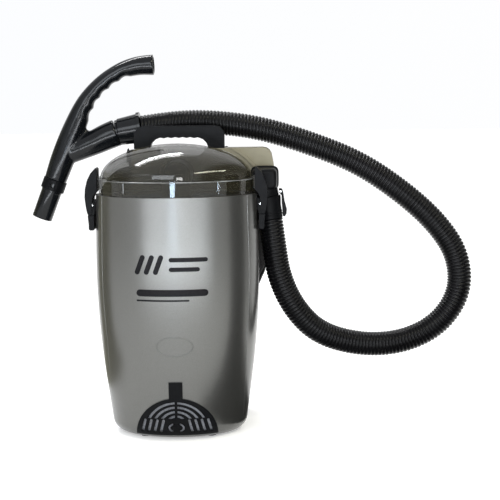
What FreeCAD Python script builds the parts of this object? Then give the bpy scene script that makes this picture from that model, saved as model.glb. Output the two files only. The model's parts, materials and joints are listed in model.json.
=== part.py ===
import FreeCAD, Part

import math
import os

from FreeCAD import Matrix, Vector

# Backpack vacuum cleaner.  Millimetres.  +Z up, -Y is the front, +X is the side of the hose inlet.
# The origin is the centre of the base, on the surface that the cleaner stands on.

# ---- Driving dimensions ---------------------------------------------------------------
CASING_BASE = 1.5            # underside of the shells, above the rubber feet
CASING_TOP = 372.0           # top edge of the two casing shells
CASING_WALL = 3.0
CASING_CORNER = 22.0         # rounding between the base and the sides
FRONT_RATIO = 0.787          # depth of the front half of an oval over its half width
REAR_RATIO = 0.53            # depth of the rear half of an oval over its half width
CASING_STATIONS = [(0.0, 102.6), (28.0, 104.8), (66.0, 111.3), (125.0, 120.0),
                   (203.0, 125.4), (285.0, 126.3), (372.0, 124.6)]   # height, half width
LOFT_LOW = -8.0              # the casing's side surface is lofted between these heights, and then trimmed
LOFT_HIGH = 376.0
LOFT_SECTIONS = 5
SEAM_Y = -46.0               # joint between the front and rear shells, upper part
SEAM_FOOT_Y = -26.0          # the same joint at the base
SEAM_BEND_Z = 150.0
SEAM_GROOVE = 1.1            # depth of the fine groove along the joint
SEAM_GROOVE_WIDTH = 0.8
FOOT_R = 7.9
FOOT_HEIGHT = 3.2
FOOT_PLACES = [(0, 0), (-50, -42), (50, -42), (-38, 30), (38, 30)]
BADGE_Z = 148.0              # faint oval rim on the front shell

LEDGE_Z = 364.0              # ledge inside the shells that carries the filter rim
LEDGE_TOP = 367.0
LEDGE_HALF = 104.0           # half width of the opening inside the ledge
DECK_Z = 147.0               # underside of the deck over the motor, on a rib of the shells
DECK_THICK = 5.0
DECK_RIB_HALF = 108.0

LID_BASE = 372.2
LID_HALF = 120.0
LID_SKIRT_TOP = 396.0
DOME_HALF = 117.5
DOME_HEIGHT = 52.5
LID_WALL = 3.0
PORT_Z = 398.0               # centre of the air port at the back of the lid
PORT_R = 23.0
PORT_WALL = 2.5
COLLAR_BOTTOM = 352.0        # lower end of the intake elbow, above the bag collar
ELBOW_Y = 0.0                # the intake elbow drops into the bag on this line

GRILLE_FOOT = 8.6
GRILLE_HALF = 62.5
GRILLE_RISE = 58.5
GRILLE_TAB_HALF = 10.5
GRILLE_TAB_TOP = 92.5
GRILLE_SLOT = 3.6            # width of the arched slots
GRILLE_DEPTH = (-130, -50)   # reach along Y of the cuts through the front

MOTOR_Y = -14.0
MOUNT_TOP = 36.0             # top of the rubber mount, where the motor frame begins
FRAME_R = 45.0
FAN_LOW = 106.0              # foot of the fan housing, on the motor frame
FAN_HIGH = 141.0
FAN_CAN_R = 62.0
SHAFT_R = 4.0
BEARING_R = 11.0
FIT = 0.05                   # radial clearance of a running fit

HOUSING_FRONT = 67.0
HOUSING_REAR = 105.0
COVER_REAR = 108.0
PLATE_FRONT = 109.8
PLATE_REAR = 113.8
PAD_REAR = 134.0

HOSE_R = 19.5
HOSE_BORE = 17.0
INLET_Y = 44.5                              # plane of the outside elbow and its release lever
INLET_TOP = Vector(135.3, INLET_Y, 393.0)   # bend of the outside elbow
INLET_AXIS = Vector(0.131, 0.0, -0.991)     # the elbow's outlet, leaning outwards
CUFF_TOP_STEP = 32.3                        # along the outlet axis from the bend
CUFF_LENGTH = 34.3
ELBOW_R = 19.5
ELBOW_BORE = 15.5
RELEASE_PIN = (160.6, 370.0)                # x, z of the release lever's pin
RELEASE_PIN_R = 1.5
CUFF_R = 21.0
CUFF_BORE = 16.5

WAND_Y = 116.0                              # plane of the bent end
SWIVEL_POINT = Vector(-100.0, WAND_Y, 462.7)
SWIVEL_AXIS = Vector(0.985, 0.0, 0.171)
SWIVEL_CUFF_LENGTH = 37.05
SPIGOT_R = 17.9

LATCH_PIVOT = (131.0, 355.0)                # x, z of the lever pin
HOOK_PIVOT = (134.2, 344.5)                 # x, z of the hook pin, on the lever
LATCH_PIN_R = 2.5
HOOK_PIN_R = 1.9
LATCH_HALF = 15.0                           # half width of the lever and the hook, along Y
SWITCH_PIVOT = (-76.2, 390.0)               # x, z of the rocker's trunnions

# Line of the hose, from the inlet cuff round the loop to the cuff at the bent end.
HOSE_ROUTE = [(144.0, 44.5, 327.0), (149.0, 44.8, 289.0), (157.0, 48.0, 232.0),
              (182.0, 55.0, 178.0), (222.0, 64.0, 137.0), (290.0, 74.0, 117.0),
              (358.0, 82.0, 120.0), (416.0, 89.0, 148.0), (450.0, 93.0, 200.0),
              (446.0, 97.5, 260.0), (412.0, 102.0, 312.0), (357.0, 106.0, 362.0),
              (287.0, 110.0, 410.0), (208.0, 112.5, 442.0), (125.0, 114.5, 468.0),
              (45.0, 115.5, 478.0), (-18.5, 116.0, 476.3), (-63.5, 116.0, 469.0)]

RING_SEAT_R = 17.0                          # groove that carries the bleed ring
SOCKET = Vector(-230.0, WAND_Y, 324.0)      # lower end of the bent end
RISE = Vector(22.0, 0.0, 57.0).normalize()  # direction of its tube, upwards

# Stations of the bent end: x, z and radius, from the wand spigot up to the tip of the grip.
GRIP_STATIONS = [(-230.0, 324.0, 16.8), (-221.0, 347.5, 17.2), (-208.0, 381.0, 18.0),
                 (-193.0, 421.0, 19.6), (-177.0, 461.0, 18.6), (-159.0, 500.0, 16.2),
                 (-143.0, 524.0, 14.2), (-120.0, 545.5, 13.0), (-93.0, 561.5, 13.4),
                 (-68.0, 568.5, 15.2), (-42.0, 570.0, 16.7)]
BRANCH_STATIONS = [(-103.0, 462.2, 22.0), (-121.0, 455.0, 21.6), (-140.0, 446.5, 20.4),
                   (-165.0, 436.0, 18.6), (-190.0, 425.0, 16.5)]
WAND_SPIGOT_R = 16.4                        # plain outside of the lower end, which the wand slides on
WAND_SPIGOT_LENGTH = 46.0
GRIP_BORE = 13.0

# Middle line of a shoulder strap: y and z, from the top of the plate to the strap's lower end.
STRAP_LINE = [(117.4, 414), (121, 424.5), (130, 428.5), (141, 424.5), (152, 411), (165, 380), (172, 330),
              (170, 270), (158, 215), (146, 176), (141, 158)]
WING_THICK = 11.0
WING_GAP = 11.5                             # between the two layers of a folded belt wing


# ---- Small helpers --------------------------------------------------------------------
def box(x0, x1, y0, y1, z0, z1):
    return Part.makeBox(x1 - x0, y1 - y0, z1 - z0, Vector(x0, y0, z0))


def rod(start, axis, radius, length):
    return Part.makeCylinder(radius, length, Vector(start), Vector(axis))


def pipe(start, axis, outer, inner, length):
    return rod(start, axis, outer, length).cut(rod(start, axis, inner, length))


def prism(points, plane, low, high):
    """A flat outline pushed along the axis that its plane leaves out."""
    place = {
        "xz": lambda a, b: Vector(a, low, b),
        "yz": lambda a, b: Vector(low, a, b),
        "xy": lambda a, b: Vector(a, b, low),
    }[plane]
    push = {"xz": Vector(0, 1, 0), "yz": Vector(1, 0, 0), "xy": Vector(0, 0, 1)}[plane]
    corners = [place(a, b) for a, b in points]
    wire = Part.makePolygon(corners + corners[:1])
    return Part.Face(wire).extrude(push * (high - low))


def mirrored(shape):
    return shape.mirror(Vector(0, 0, 0), Vector(1, 0, 0))


def rounded_slot(a, b, radius, y0, y1):
    """A straight slot between two points of the front, with round ends."""
    length = math.hypot(b[0] - a[0], b[1] - a[1])
    slot = box(0, length, y0, y1, -radius, radius)
    for along in (0, length):
        slot = slot.fuse(rod((along, y0, 0), (0, 1, 0), radius, y1 - y0))
    slot.rotate(Vector(0, 0, 0), Vector(0, 1, 0), -math.degrees(math.atan2(b[1] - a[1], b[0] - a[0])))
    slot.translate(Vector(a[0], 0, a[1]))
    return slot


def ellipse_prism(centre, half_x, half_z, y0, y1):
    """An upright elliptical rod along Y; half_x is the longer half."""
    frame = Part.Ellipse(Vector(0, 0, 0), half_x, half_z).toShape()
    frame.rotate(Vector(0, 0, 0), Vector(1, 0, 0), 90)
    frame.translate(Vector(centre[0], y0, centre[1]))
    return Part.Face(Part.Wire([frame])).extrude(Vector(0, y1 - y0, 0))


def oval(half, inset, z):
    """The casing's outline at one height: a deep front half and a shallow rear half."""
    front = Part.Ellipse(Vector(0, 0, z), half - inset, FRONT_RATIO * half - inset)
    rear = Part.Ellipse(Vector(0, 0, z), half - inset, REAR_RATIO * half - inset)
    return Part.Wire([Part.Arc(front, math.pi, 2 * math.pi).toShape(),
                      Part.Arc(rear, 0, math.pi).toShape()])


def casing_half(z):
    """Half width of the casing's side at a height, before the base corner is rounded."""
    half = CASING_STATIONS[-1][1]
    for (z0, a0), (z1, a1) in zip(CASING_STATIONS, CASING_STATIONS[1:]):
        if z <= z1:
            half = a0 + (a1 - a0) * (z - z0) / (z1 - z0)
            break
    return half


def casing_slab(inset, low, high):
    """A level slice of the casing, drawn in by inset on every side."""
    step = (LOFT_HIGH - LOFT_LOW) / (LOFT_SECTIONS - 1)
    heights = [LOFT_LOW + step * i for i in range(LOFT_SECTIONS)]
    loft = Part.makeLoft([oval(casing_half(z), inset, z) for z in heights], True)
    return loft.common(box(-200, 200, -200, 200, low, high))


def casing_solid(inset, top=CASING_TOP):
    """The casing with its rounded base corner, drawn in by inset on every side."""
    low = CASING_BASE + inset
    solid = casing_slab(inset, low, top)
    rim = [e for e in solid.Edges if abs(e.BoundBox.Center.z - low) < 0.01 and e.BoundBox.ZLength < 0.1]
    return solid.makeFillet(CASING_CORNER - inset, rim)


def side_strip(x0, x1, *rest):
    """A box given by two distances from the middle, on the side that their sign says."""
    return box(min(x0, x1), max(x0, x1), *rest)


def oval_prism(half, low, high):
    """An upright oval block, given by its half width."""
    return Part.Face(oval(half, 0, low)).extrude(Vector(0, 0, high - low))


def oval_ring(outer, inner, low, high):
    """A flat-bottomed ring between two ovals, given by their half widths."""
    return oval_prism(outer, low, high).cut(oval_prism(inner, low - 1.0, high + 1.0))


def half_dome(half, depth, height, z):
    """Half of a dome on one side of the X axis; a negative depth is the front."""
    ball = Part.makeSphere(1.0, Vector(0, 0, 0), Vector(0, 0, 1), 0, 90, 180)
    if depth < 0:
        ball.rotate(Vector(0, 0, 0), Vector(0, 0, 1), 180)
    scale = Matrix()
    scale.scale(Vector(half, abs(depth), height))
    ball = ball.transformGeometry(scale)
    ball.translate(Vector(0, 0, z))
    return ball


def dome(half, inset, height, z):
    return half_dome(half - inset, -(FRONT_RATIO * half - inset), height - inset, z).fuse(
        half_dome(half - inset, REAR_RATIO * half - inset, height - inset, z))


def station_loft(stations, y, shrink=0.0):
    """A round bar of changing radius whose centre line lies in a plane of constant Y."""
    wires = []
    for i, (x, z, radius) in enumerate(stations):
        x0, z0, _ = stations[max(i - 1, 0)]
        x1, z1, _ = stations[min(i + 1, len(stations) - 1)]
        circle = Part.Circle(Vector(x, y, z), Vector(x1 - x0, 0, z1 - z0), radius - shrink)
        wires.append(Part.Wire([circle.toShape()]))
    return Part.makeLoft(wires, True)


def band(points, thickness, low, high):
    """A strip of constant thickness that follows a smooth line of (y, z) points, from low to high along X."""
    sides = []
    for sign in (1, -1):
        side = []
        for i, (a, b) in enumerate(points):
            a0, b0 = points[max(i - 1, 0)]
            a1, b1 = points[min(i + 1, len(points) - 1)]
            shift = sign * thickness / 2 / math.hypot(a1 - a0, b1 - b0)
            side.append(Vector(low, a - (b1 - b0) * shift, b + (a1 - a0) * shift))
        sides.append(side)
    edges = []
    for side in sides:
        curve = Part.BSplineCurve()
        curve.interpolate(side)
        edges.append(curve.toShape())
    for end in (0, -1):
        edges.append(Part.LineSegment(sides[0][end], sides[1][end]).toShape())
    wire = Part.Wire(Part.__sortEdges__(edges))
    return Part.Face(wire).extrude(Vector(high - low, 0, 0))


def hose_tube(route, outer, inner):
    """Straight runs joined by tangent arcs, swept with the hose's wall."""
    points = [Vector(*p) for p in route]
    edges = []
    last = points[0]
    for before, corner, after in zip(points, points[1:], points[2:]):
        back = before - corner
        ahead = after - corner
        turn = math.pi - back.getAngle(ahead)
        reach = 0.45 * min(back.Length, ahead.Length)
        radius = reach / math.tan(turn / 2)
        start = corner + back.normalize() * reach
        end = corner + ahead.normalize() * reach
        bisector = (back + ahead).normalize()
        middle = corner + bisector * (radius / math.cos(turn / 2) - radius)
        edges.append(Part.LineSegment(last, start).toShape())
        edges.append(Part.Arc(start, middle, end).toShape())
        last = end
        print(f"hose arc radius {radius:.0f} mm, turn {math.degrees(turn):.0f} degrees")
    edges.append(Part.LineSegment(last, points[-1]).toShape())
    path = Part.Wire(edges)
    length = path.Length
    first = points[1] - points[0]
    solids = [path.makePipeShell([Part.Wire([Part.Circle(points[0], first, r).toShape()])], True, False)
              for r in (outer, inner)]
    tube = solids[0].cut(solids[1])
    section = math.pi * (outer ** 2 - inner ** 2)
    print(f"hose length {length:.0f} mm, volume {tube.Volume:.0f}, section x length {section * length:.0f}")
    return tube


# ---- Casing shells --------------------------------------------------------------------
def front_side():
    """Everything ahead of the seam between the two shells."""
    return prism([(-300, -10), (SEAM_FOOT_Y, -10), (SEAM_FOOT_Y, CASING_BASE), (SEAM_Y, SEAM_BEND_Z),
                  (SEAM_Y, 500), (-300, 500)], "yz", -300, 300)


def grille_outline(shrink):
    """The half-round grille with its square tab, as a solid along Y."""
    y0, y1 = GRILLE_DEPTH
    shape = ellipse_prism((0, GRILLE_FOOT), GRILLE_HALF - shrink, GRILLE_RISE - shrink, y0, y1)
    shape = shape.common(box(-100, 100, y0, y1, GRILLE_FOOT + shrink, 100))
    tab = GRILLE_TAB_HALF - shrink
    return shape.fuse(box(-tab, tab, y0, y1, GRILLE_FOOT + 30, GRILLE_TAB_TOP - shrink))


def make_casing(outer):
    shell = outer.cut(casing_solid(CASING_WALL, CASING_TOP + 1.0))
    ledge = casing_slab(1.0, LEDGE_Z, LEDGE_TOP).cut(oval_prism(LEDGE_HALF, LEDGE_Z - 1.0, LEDGE_TOP + 1.0))
    deck_rib = casing_slab(1.0, DECK_Z - 4.0, DECK_Z).cut(oval_prism(DECK_RIB_HALF, DECK_Z - 5.0, DECK_Z + 1.0))
    shell = shell.fuse([ledge, deck_rib])
    for x, y in FOOT_PLACES:
        shell = shell.cut(rod((x, y, 0), (0, 0, 1), FOOT_R + 0.1, FOOT_HEIGHT))
    front = front_side()
    lip = front.copy()
    lip.translate(Vector(0, SEAM_GROOVE_WIDTH, 0))
    groove = outer.cut(casing_solid(SEAM_GROOVE, CASING_TOP + 1.0)).common(lip.cut(front))
    rear_shell = shell.cut(front).cut(groove)
    badge_rim = oval_slot((0, BADGE_Z), 28.0, 15.5, 1.4)
    badge_rim = casing_slab(-0.6, 100, 200).cut(casing_slab(1.0, 99, 201)).common(badge_rim)
    front_shell = shell.common(front).fuse(badge_rim).cut(grille_outline(6.0))
    return front_shell, rear_shell


def make_feet():
    return Part.makeCompound([rod((x, y, 0), (0, 0, 1), FOOT_R, FOOT_HEIGHT) for x, y in FOOT_PLACES])


# ---- Exhaust ---------------------------------------------------------------------------
def oval_slot(centre, half_x, half_z, width):
    """A ring-shaped slot through the front, before it is trimmed to its arc."""
    y0, y1 = GRILLE_DEPTH
    return ellipse_prism(centre, half_x, half_z, y0, y1).cut(
        ellipse_prism(centre, half_x - width, half_z - width, y0, y1))


def grille_slots():
    """Arched slots over an oval boss, and four leaning slots on each side."""
    y0, y1 = GRILLE_DEPTH
    foot = GRILLE_FOOT
    slots = []
    for half_x, rise in ((18.0, 32.5), (28.5, 39.5), (39.0, 46.5), (49.0, 53.5)):
        half_z = half_x * 0.999
        arch = oval_slot((0, foot + rise - half_z), half_x, half_z, GRILLE_SLOT)
        slots.append(arch.common(box(-100, 100, y0, y1, foot + 27, 100)).cut(box(-2, 2, y0, y1, foot, 100)))
    for x in (24.0, 33.5, 43.0, 52.5):
        top = foot + min(24.0, GRILLE_RISE * math.sqrt(1 - (x / GRILLE_HALF) ** 2) - 4.0)
        for side in (1, -1):
            slots.append(rounded_slot((side * x, foot + 6.5), (side * (x - 4.5), top), 1.9, y0, y1))
    ring = oval_slot((0, foot + 12.5), 12.5, 8.0, 3.0)
    slots.append(ring.cut(box(-5, 5, y0, y1, foot, foot + 30)))
    return slots


def make_grille():
    plate = casing_solid(-2.4, 120.0).cut(casing_solid(-0.3, 121.0)).common(grille_outline(0.0))
    for slot in grille_slots():
        plate = plate.cut(slot)
    boss = casing_solid(-3.6, 120.0).cut(casing_solid(-1.5, 121.0))
    return plate.fuse(boss.common(ellipse_prism((0, GRILLE_FOOT + 12.5), 8.0, 4.4, *GRILLE_DEPTH)))


def make_exhaust_filter():
    block = casing_solid(CASING_WALL + 0.3, 120.0).cut(casing_solid(CASING_WALL + 10.0, 121.0))
    block = block.common(ellipse_prism((0, GRILLE_FOOT), 60.0, 56.0, *GRILLE_DEPTH))
    return block.common(box(-100, 100, *GRILLE_DEPTH, 12, 80))


# ---- Motor and fan -----------------------------------------------------------------------
def motor_rod(radius, low, high):
    return rod((0, MOTOR_Y, low), (0, 0, 1), radius, high - low)


def motor_pipe(outer, inner, low, high):
    return motor_rod(outer, low, high).cut(motor_rod(inner, low - 1, high + 1))


def round_motor(shape, count, start=0.0):
    """Copies of a shape, evenly spaced round the motor's axis."""
    copies = []
    for k in range(count):
        turned = shape.copy()
        turned.rotate(Vector(0, MOTOR_Y, 0), Vector(0, 0, 1), start + 360 / count * k)
        copies.append(turned)
    return copies


def make_motor_frame():
    frame = motor_pipe(FRAME_R, FRAME_R - 2.5, MOUNT_TOP + 4.0, FAN_LOW)
    frame = frame.fuse([motor_pipe(FRAME_R, BEARING_R, MOUNT_TOP, MOUNT_TOP + 4.0),
                        motor_pipe(16.0, BEARING_R, MOUNT_TOP, MOUNT_TOP + 8.0)])
    window = box(20, 60, MOTOR_Y - 16, MOTOR_Y + 16, 58, 96)
    return frame.cut(round_motor(window, 4, 45))


def make_impeller():
    """Two discs with nine curved-back blades between them."""
    fan = motor_pipe(56.0, SHAFT_R, 112.0, 113.5)
    fan = fan.fuse([motor_pipe(56.0, 22.0, 134.0, 135.5), motor_pipe(12.0, SHAFT_R, 112.0, 134.0)])
    blade = box(12, 55, MOTOR_Y - 0.8, MOTOR_Y + 0.8, 113, 134.5)
    blade.rotate(Vector(12, MOTOR_Y, 0), Vector(0, 0, 1), 28)
    return fan.fuse(round_motor(blade.common(motor_rod(55.5, 112, 136)), 9))


def make_motor():
    core = (60.0, 92.0)
    coil_height = 9.0
    parts = {}
    parts["motor_mount"] = motor_pipe(34.0, 18.0, CASING_BASE + CASING_WALL + 0.1, MOUNT_TOP)
    parts["motor_frame"] = make_motor_frame()
    sides = [side_strip(MOTOR_Y + s * 34, MOTOR_Y + s * 60, -30, 30, 50, 100) for s in (1, -1)]
    for side in sides:
        side.rotate(Vector(0, 0, 0), Vector(0, 0, 1), 90)
    stator = motor_pipe(FRAME_R - 2.7, 24.5, *core)
    parts["motor_stator"] = stator.cut(sides)
    coils = []
    for low in (core[0] - coil_height - 1.0, core[1] + 0.2):
        ring = motor_pipe(36.0, 26.0, low, low + coil_height)
        for y0, y1 in ((MOTOR_Y, MOTOR_Y + 40), (MOTOR_Y - 40, MOTOR_Y)):
            coils.append(ring.common(box(-16, 16, y0, y1, 40, 110)))
    parts["field_coils"] = Part.makeCompound(coils)
    parts["motor_bearings"] = Part.makeCompound(
        [motor_pipe(BEARING_R, SHAFT_R + FIT, low, low + 7.0) for low in (MOUNT_TOP + 0.5, FAN_LOW - 4.0)])
    parts["carbon_brushes"] = Part.makeCompound(
        [side_strip(s * 11.4, s * 40, MOTOR_Y - 4, MOTOR_Y + 4, 45.5, 49.5) for s in (1, -1)])
    parts["motor_shaft"] = motor_rod(SHAFT_R, MOUNT_TOP - 2.0, FAN_HIGH - 1.0)
    slot = box(21.5, 25.0, MOTOR_Y - 1.2, MOTOR_Y + 1.2, core[0] - 5, core[1] + 3)
    parts["armature"] = motor_pipe(23.8, SHAFT_R, *core).cut(round_motor(slot, 12))
    parts["commutator"] = motor_pipe(11.0, SHAFT_R, 44.5, 55.0)
    vent = box(40, 54, MOTOR_Y - 3, MOTOR_Y + 3, FAN_LOW - 1, FAN_LOW + 4)
    guide = motor_pipe(FAN_CAN_R - 1.7, BEARING_R, FAN_LOW, FAN_LOW + 3.0)
    parts["fan_guide_plate"] = guide.cut(round_motor(vent, 12))
    parts["fan_impeller"] = make_impeller()
    can = motor_rod(FAN_CAN_R, FAN_LOW, FAN_HIGH).cut(motor_rod(FAN_CAN_R - 1.5, FAN_LOW - 1, FAN_HIGH - 1.5))
    parts["fan_housing"] = can.cut(motor_rod(21.0, FAN_HIGH - 10, FAN_HIGH + 10))
    parts["motor_top_seal"] = motor_pipe(58.0, 44.0, FAN_HIGH, DECK_Z)
    deck = casing_slab(CASING_WALL + 0.4, DECK_Z, DECK_Z + DECK_THICK)
    parts["motor_deck"] = deck.cut(motor_rod(30.0, DECK_Z - 5, DECK_Z + 10))
    parts["pre_motor_filter"] = motor_pipe(52.0, 8.0, DECK_Z + DECK_THICK, DECK_Z + DECK_THICK + 8.0)
    return parts


# ---- Bag chamber ---------------------------------------------------------------------------
def make_filters():
    def sleeve(levels, inset):
        return Part.makeLoft([oval(half, inset, z) for z, half in levels], True, True)

    cloth = [(166.0, 84.0), (200.0, 96.0), (300.0, 101.0), (LEDGE_TOP, 103.5)]
    hollow = [(168.5, 85.0)] + cloth[1:3] + [(LEDGE_TOP + 1, 103.5)]
    bag = [(178, 60), (190, 84), (260, 90), (325, 86), (346, 62)]
    bag_hollow = [(180, 61)] + bag[1:4] + [(344.4, 64)]
    port = rod((0, ELBOW_Y, 330), (0, 0, 1), PORT_R + 0.8, 30)
    collar = box(-46, 46, -44, 44, 346.2, 349.2).cut(port)
    return {"cloth_filter": sleeve(cloth, 0).cut(sleeve(hollow, 2.0)),
            "filter_rim": oval_ring(117.0, 99.0, LEDGE_TOP, LEDGE_TOP + 4.6),
            "dust_bag": sleeve(bag, 0).cut(sleeve(bag_hollow, 1.2)).cut(port),
            "bag_collar": collar}


# ---- Lid -------------------------------------------------------------------------------------
def make_intake_elbow():
    """A pipe from the port at the back, bending down into the collar of the dust bag."""
    bend = Vector(0, ELBOW_Y, PORT_Z)

    def run(radius, low, back):
        level = rod(bend, (0, 1, 0), radius, back - ELBOW_Y)
        drop = rod((0, ELBOW_Y, low), (0, 0, 1), radius, PORT_Z - low)
        return level.fuse([Part.makeSphere(radius, bend), drop])

    rear_face = REAR_RATIO * LID_HALF
    return run(PORT_R - 0.1, COLLAR_BOTTOM, rear_face).cut(run(PORT_R - PORT_WALL, COLLAR_BOTTOM - 1, 80))


def make_lid():
    outer = oval_prism(LID_HALF, LID_BASE, LID_SKIRT_TOP).fuse(dome(DOME_HALF, 0.0, DOME_HEIGHT, LID_SKIRT_TOP))
    hollow = oval_prism(LID_HALF - LID_WALL, LID_BASE - 1, LID_SKIRT_TOP).fuse(
        dome(DOME_HALF, LID_WALL, DOME_HEIGHT, LID_SKIRT_TOP))
    grip_rib = oval_ring(LID_HALF + 0.9, LID_HALF - 1.0, LID_SKIRT_TOP - 3.0, LID_SKIRT_TOP - 1.0)
    grip_rib = grip_rib.cut(box(-40, 40, 50, 80, 380, 400))
    lid = outer.cut(hollow).fuse(grip_rib).cut(rod((0, 20, PORT_Z), (0, 1, 0), PORT_R, 60))
    solid_lid = outer.fuse(grip_rib)
    ears = [side_strip(side * 117.5, side * 121.5, -9, 9, 378, 399).cut(solid_lid) for side in (1, -1)]
    for x in (-74.0, 69.0):
        mark_y = -FRONT_RATIO * LID_HALF * math.sqrt(1 - (x / LID_HALF) ** 2)
        ears.append(box(x - 1.5, x + 1.5, mark_y - 1.4, mark_y + 1.5, 377, LID_SKIRT_TOP - 3.1).cut(solid_lid))
    return {"lid_dome": lid, "lid_catches": Part.makeCompound(ears), "intake_elbow": make_intake_elbow()}


# ---- Side latches, drawn on the +X side ---------------------------------------------------------
def make_latch(casing_outer):
    """Bracket, pin, lever and hook of one draw latch."""
    px, pz = LATCH_PIVOT
    hx, hz = HOOK_PIVOT
    half = LATCH_HALF
    parts = {}
    base = prism([(118, 343), (131, 347), (134.2, 351), (135, 356), (133, 361), (118, 367)], "xz", -7, 7)
    parts["latch_base"] = base.cut(casing_outer).cut(rod((px, -20, pz), (0, 1, 0), LATCH_PIN_R, 40))
    parts["latch_pin"] = rod((px, -11.0, pz), (0, 1, 0), LATCH_PIN_R, 22.0)
    plate = prism([(127.2, 346), (137.2, 346), (136.6, 336), (135.6, 326), (135.6, 318.5), (134.0, 316.3),
                   (128.6, 316.3), (127.6, 318.4), (127.2, 322)], "xz", -half, half)
    plate = plate.cut(box(120, 132.8, -7.4, 7.4, 338, 350))
    cheeks = []
    for side in (1, -1):
        y0 = 7.4 if side > 0 else -11.0
        cheek = rod((px, y0, pz), (0, 1, 0), 5.4, 3.6)
        cheek = cheek.fuse(prism([(126.6, 341), (137.2, 341), (136.4, pz), (126.0, pz)], "xz", y0, y0 + 3.6))
        cheeks.append(cheek)
    lever = plate.fuse(cheeks)
    lever = lever.cut(rod((px, -20, pz), (0, 1, 0), LATCH_PIN_R + FIT, 40))
    for side in (1, -1):
        y0 = 11.0 if side > 0 else -15.2
        lever = lever.cut(rod((hx, y0, hz), (0, 1, 0), 4.6, 4.2)).cut(
            box(126, 142, y0, y0 + 4.2, 339.0, 352))
    parts["latch_lever"] = lever.fuse(rod((hx, -half, hz), (0, 1, 0), HOOK_PIN_R, 2 * half))
    outline = [(130.4, 344.5), (131.6, 341.2), (134.2, 340.2), (136.8, 341.2), (138.2, 346), (139.8, 356),
               (141.0, 368), (140.0, 381), (136.6, 394), (131.2, 404.5), (123.8, 412.5), (121.8, 410.5),
               (121.8, 377), (126.0, 372.6), (129.0, 366)]
    hook = prism(outline, "xz", -half, half)
    hook = hook.cut(box(115, 137.4, -11.3, 11.3, 335, 397)).cut(box(115, 145, -11.3, 11.3, 335, 364))
    parts["latch_hook"] = hook.cut(rod((hx, -20, hz), (0, 1, 0), HOOK_PIN_R + FIT, 40))
    return parts


# ---- Air inlet housing behind the lid -------------------------------------------------------------
def housing_outline(inset):
    """The housing seen from the front, as a closed wire at Y = 0, drawn in by inset."""
    corners = [(-76, 300), (-76, 431), (-70, 437), (-44, 437), (-30, 424), (30, 424), (44, 437), (133, 437),
               (139, 435.8), (143.6, 432.4), (146.6, 427.4), (148, 421), (153, 391), (152, 345), (112, 318), (64, 300)]
    points = [Vector(x, 0, z) for x, z in corners]
    wire = Part.makePolygon(points + points[:1])
    if inset:
        wire = wire.makeOffset2D(-inset)
    return wire


def housing_solid(inset, y0, y1):
    block = Part.Face(housing_outline(inset)).extrude(Vector(0, y1 - y0, 0))
    block.translate(Vector(0, y0, 0))
    return block


def make_housing(casing_outer):
    shell = housing_solid(0, HOUSING_FRONT, HOUSING_REAR)
    shell = shell.cut(housing_solid(3.0, HOUSING_FRONT + 3.0, HOUSING_REAR + 1))
    saddle = box(-66, 66, 40, HOUSING_FRONT, 303, 362).cut(casing_outer)
    arch = ellipse_prism((0, 372), 134, 88, 64.6, HOUSING_FRONT).cut(ellipse_prism((0, 372), 129, 83, 60, 70))
    arch = arch.common(housing_solid(0.5, 60, 70)).common(box(78, 150, 60, 70, 385, 440))
    shell = shell.fuse([saddle, arch])
    bay_wall = box(-30, -27, HOUSING_FRONT + 3, HOUSING_REAR, 302, 423).common(housing_solid(0.2, 0, 200))
    shell = shell.fuse(bay_wall)
    shell = shell.cut(rod((0, 60, PORT_Z), (0, 1, 0), PORT_R - PORT_WALL, 12))
    shell = shell.cut(rod((INLET_TOP.x, 60, INLET_TOP.z), (0, 1, 0), ELBOW_BORE, 12))
    shell = shell.cut(box(-80, -70, 76, 96, 377.6, 402.4))
    shell = shell.cut(rod((-52, 86, 295), (0, 0, 1), 6.0, 12)).cut(casing_outer)
    screws = []
    for x, z in ((-70, 425), (-70, 310), (0, 306), (64, 308), (140, 350), (138, 430), (0, 418)):
        screws.append(rod((x, COVER_REAR, z), (0, 1, 0), 3.6, 1.4).fuse(
            rod((x, HOUSING_REAR, z), (0, 1, 0), 1.8, 3.0)))
    screws = Part.makeCompound(screws)
    cover = housing_solid(0, HOUSING_REAR, COVER_REAR).cut(screws)
    return shell, cover, screws


def make_port_seal():
    return pipe((0, 64.1, PORT_Z), (0, 1, 0), PORT_R + 1.5, PORT_R - PORT_WALL, HOUSING_FRONT - 64.1)


def make_inlet_elbow():
    """The elbow outside the housing, with lugs for the release lever; and the lever's pin."""
    top = INLET_TOP
    lip = top + INLET_AXIS * (CUFF_TOP_STEP - 3.0)

    def run(radius, end):
        level = rod(top, (0, 1, 0), radius, HOUSING_FRONT - INLET_Y)
        return level.fuse([Part.makeSphere(radius, top), rod(top, INLET_AXIS, radius, end)])

    flange = rod((top.x, HOUSING_FRONT - 3.0, top.z), (0, 1, 0), ELBOW_R + 4.0, 3.0)
    body = run(ELBOW_R, CUFF_TOP_STEP).fuse([flange, rod(lip, INLET_AXIS, ELBOW_R + 2.4, 3.0)])
    px, pz = RELEASE_PIN
    for y0 in (INLET_Y - 9.4, INLET_Y + 6.4):
        lug = box(150, px, y0, y0 + 3.0, pz - 3.4, pz + 3.4)
        body = body.fuse(lug.fuse(rod((px, y0, pz), (0, 1, 0), 3.4, 3.0)))
    body = body.cut(box(156.2, 170, INLET_Y - 6.4, INLET_Y + 6.4, 355, 380))
    body = body.cut(run(ELBOW_BORE, CUFF_TOP_STEP + 1)).cut(rod((top.x, 60, top.z), (0, 1, 0), ELBOW_BORE, 12))
    pin = rod((px, INLET_Y - 9.4, pz), (0, 1, 0), RELEASE_PIN_R, 18.8)
    return body.cut(pin), pin


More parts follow.
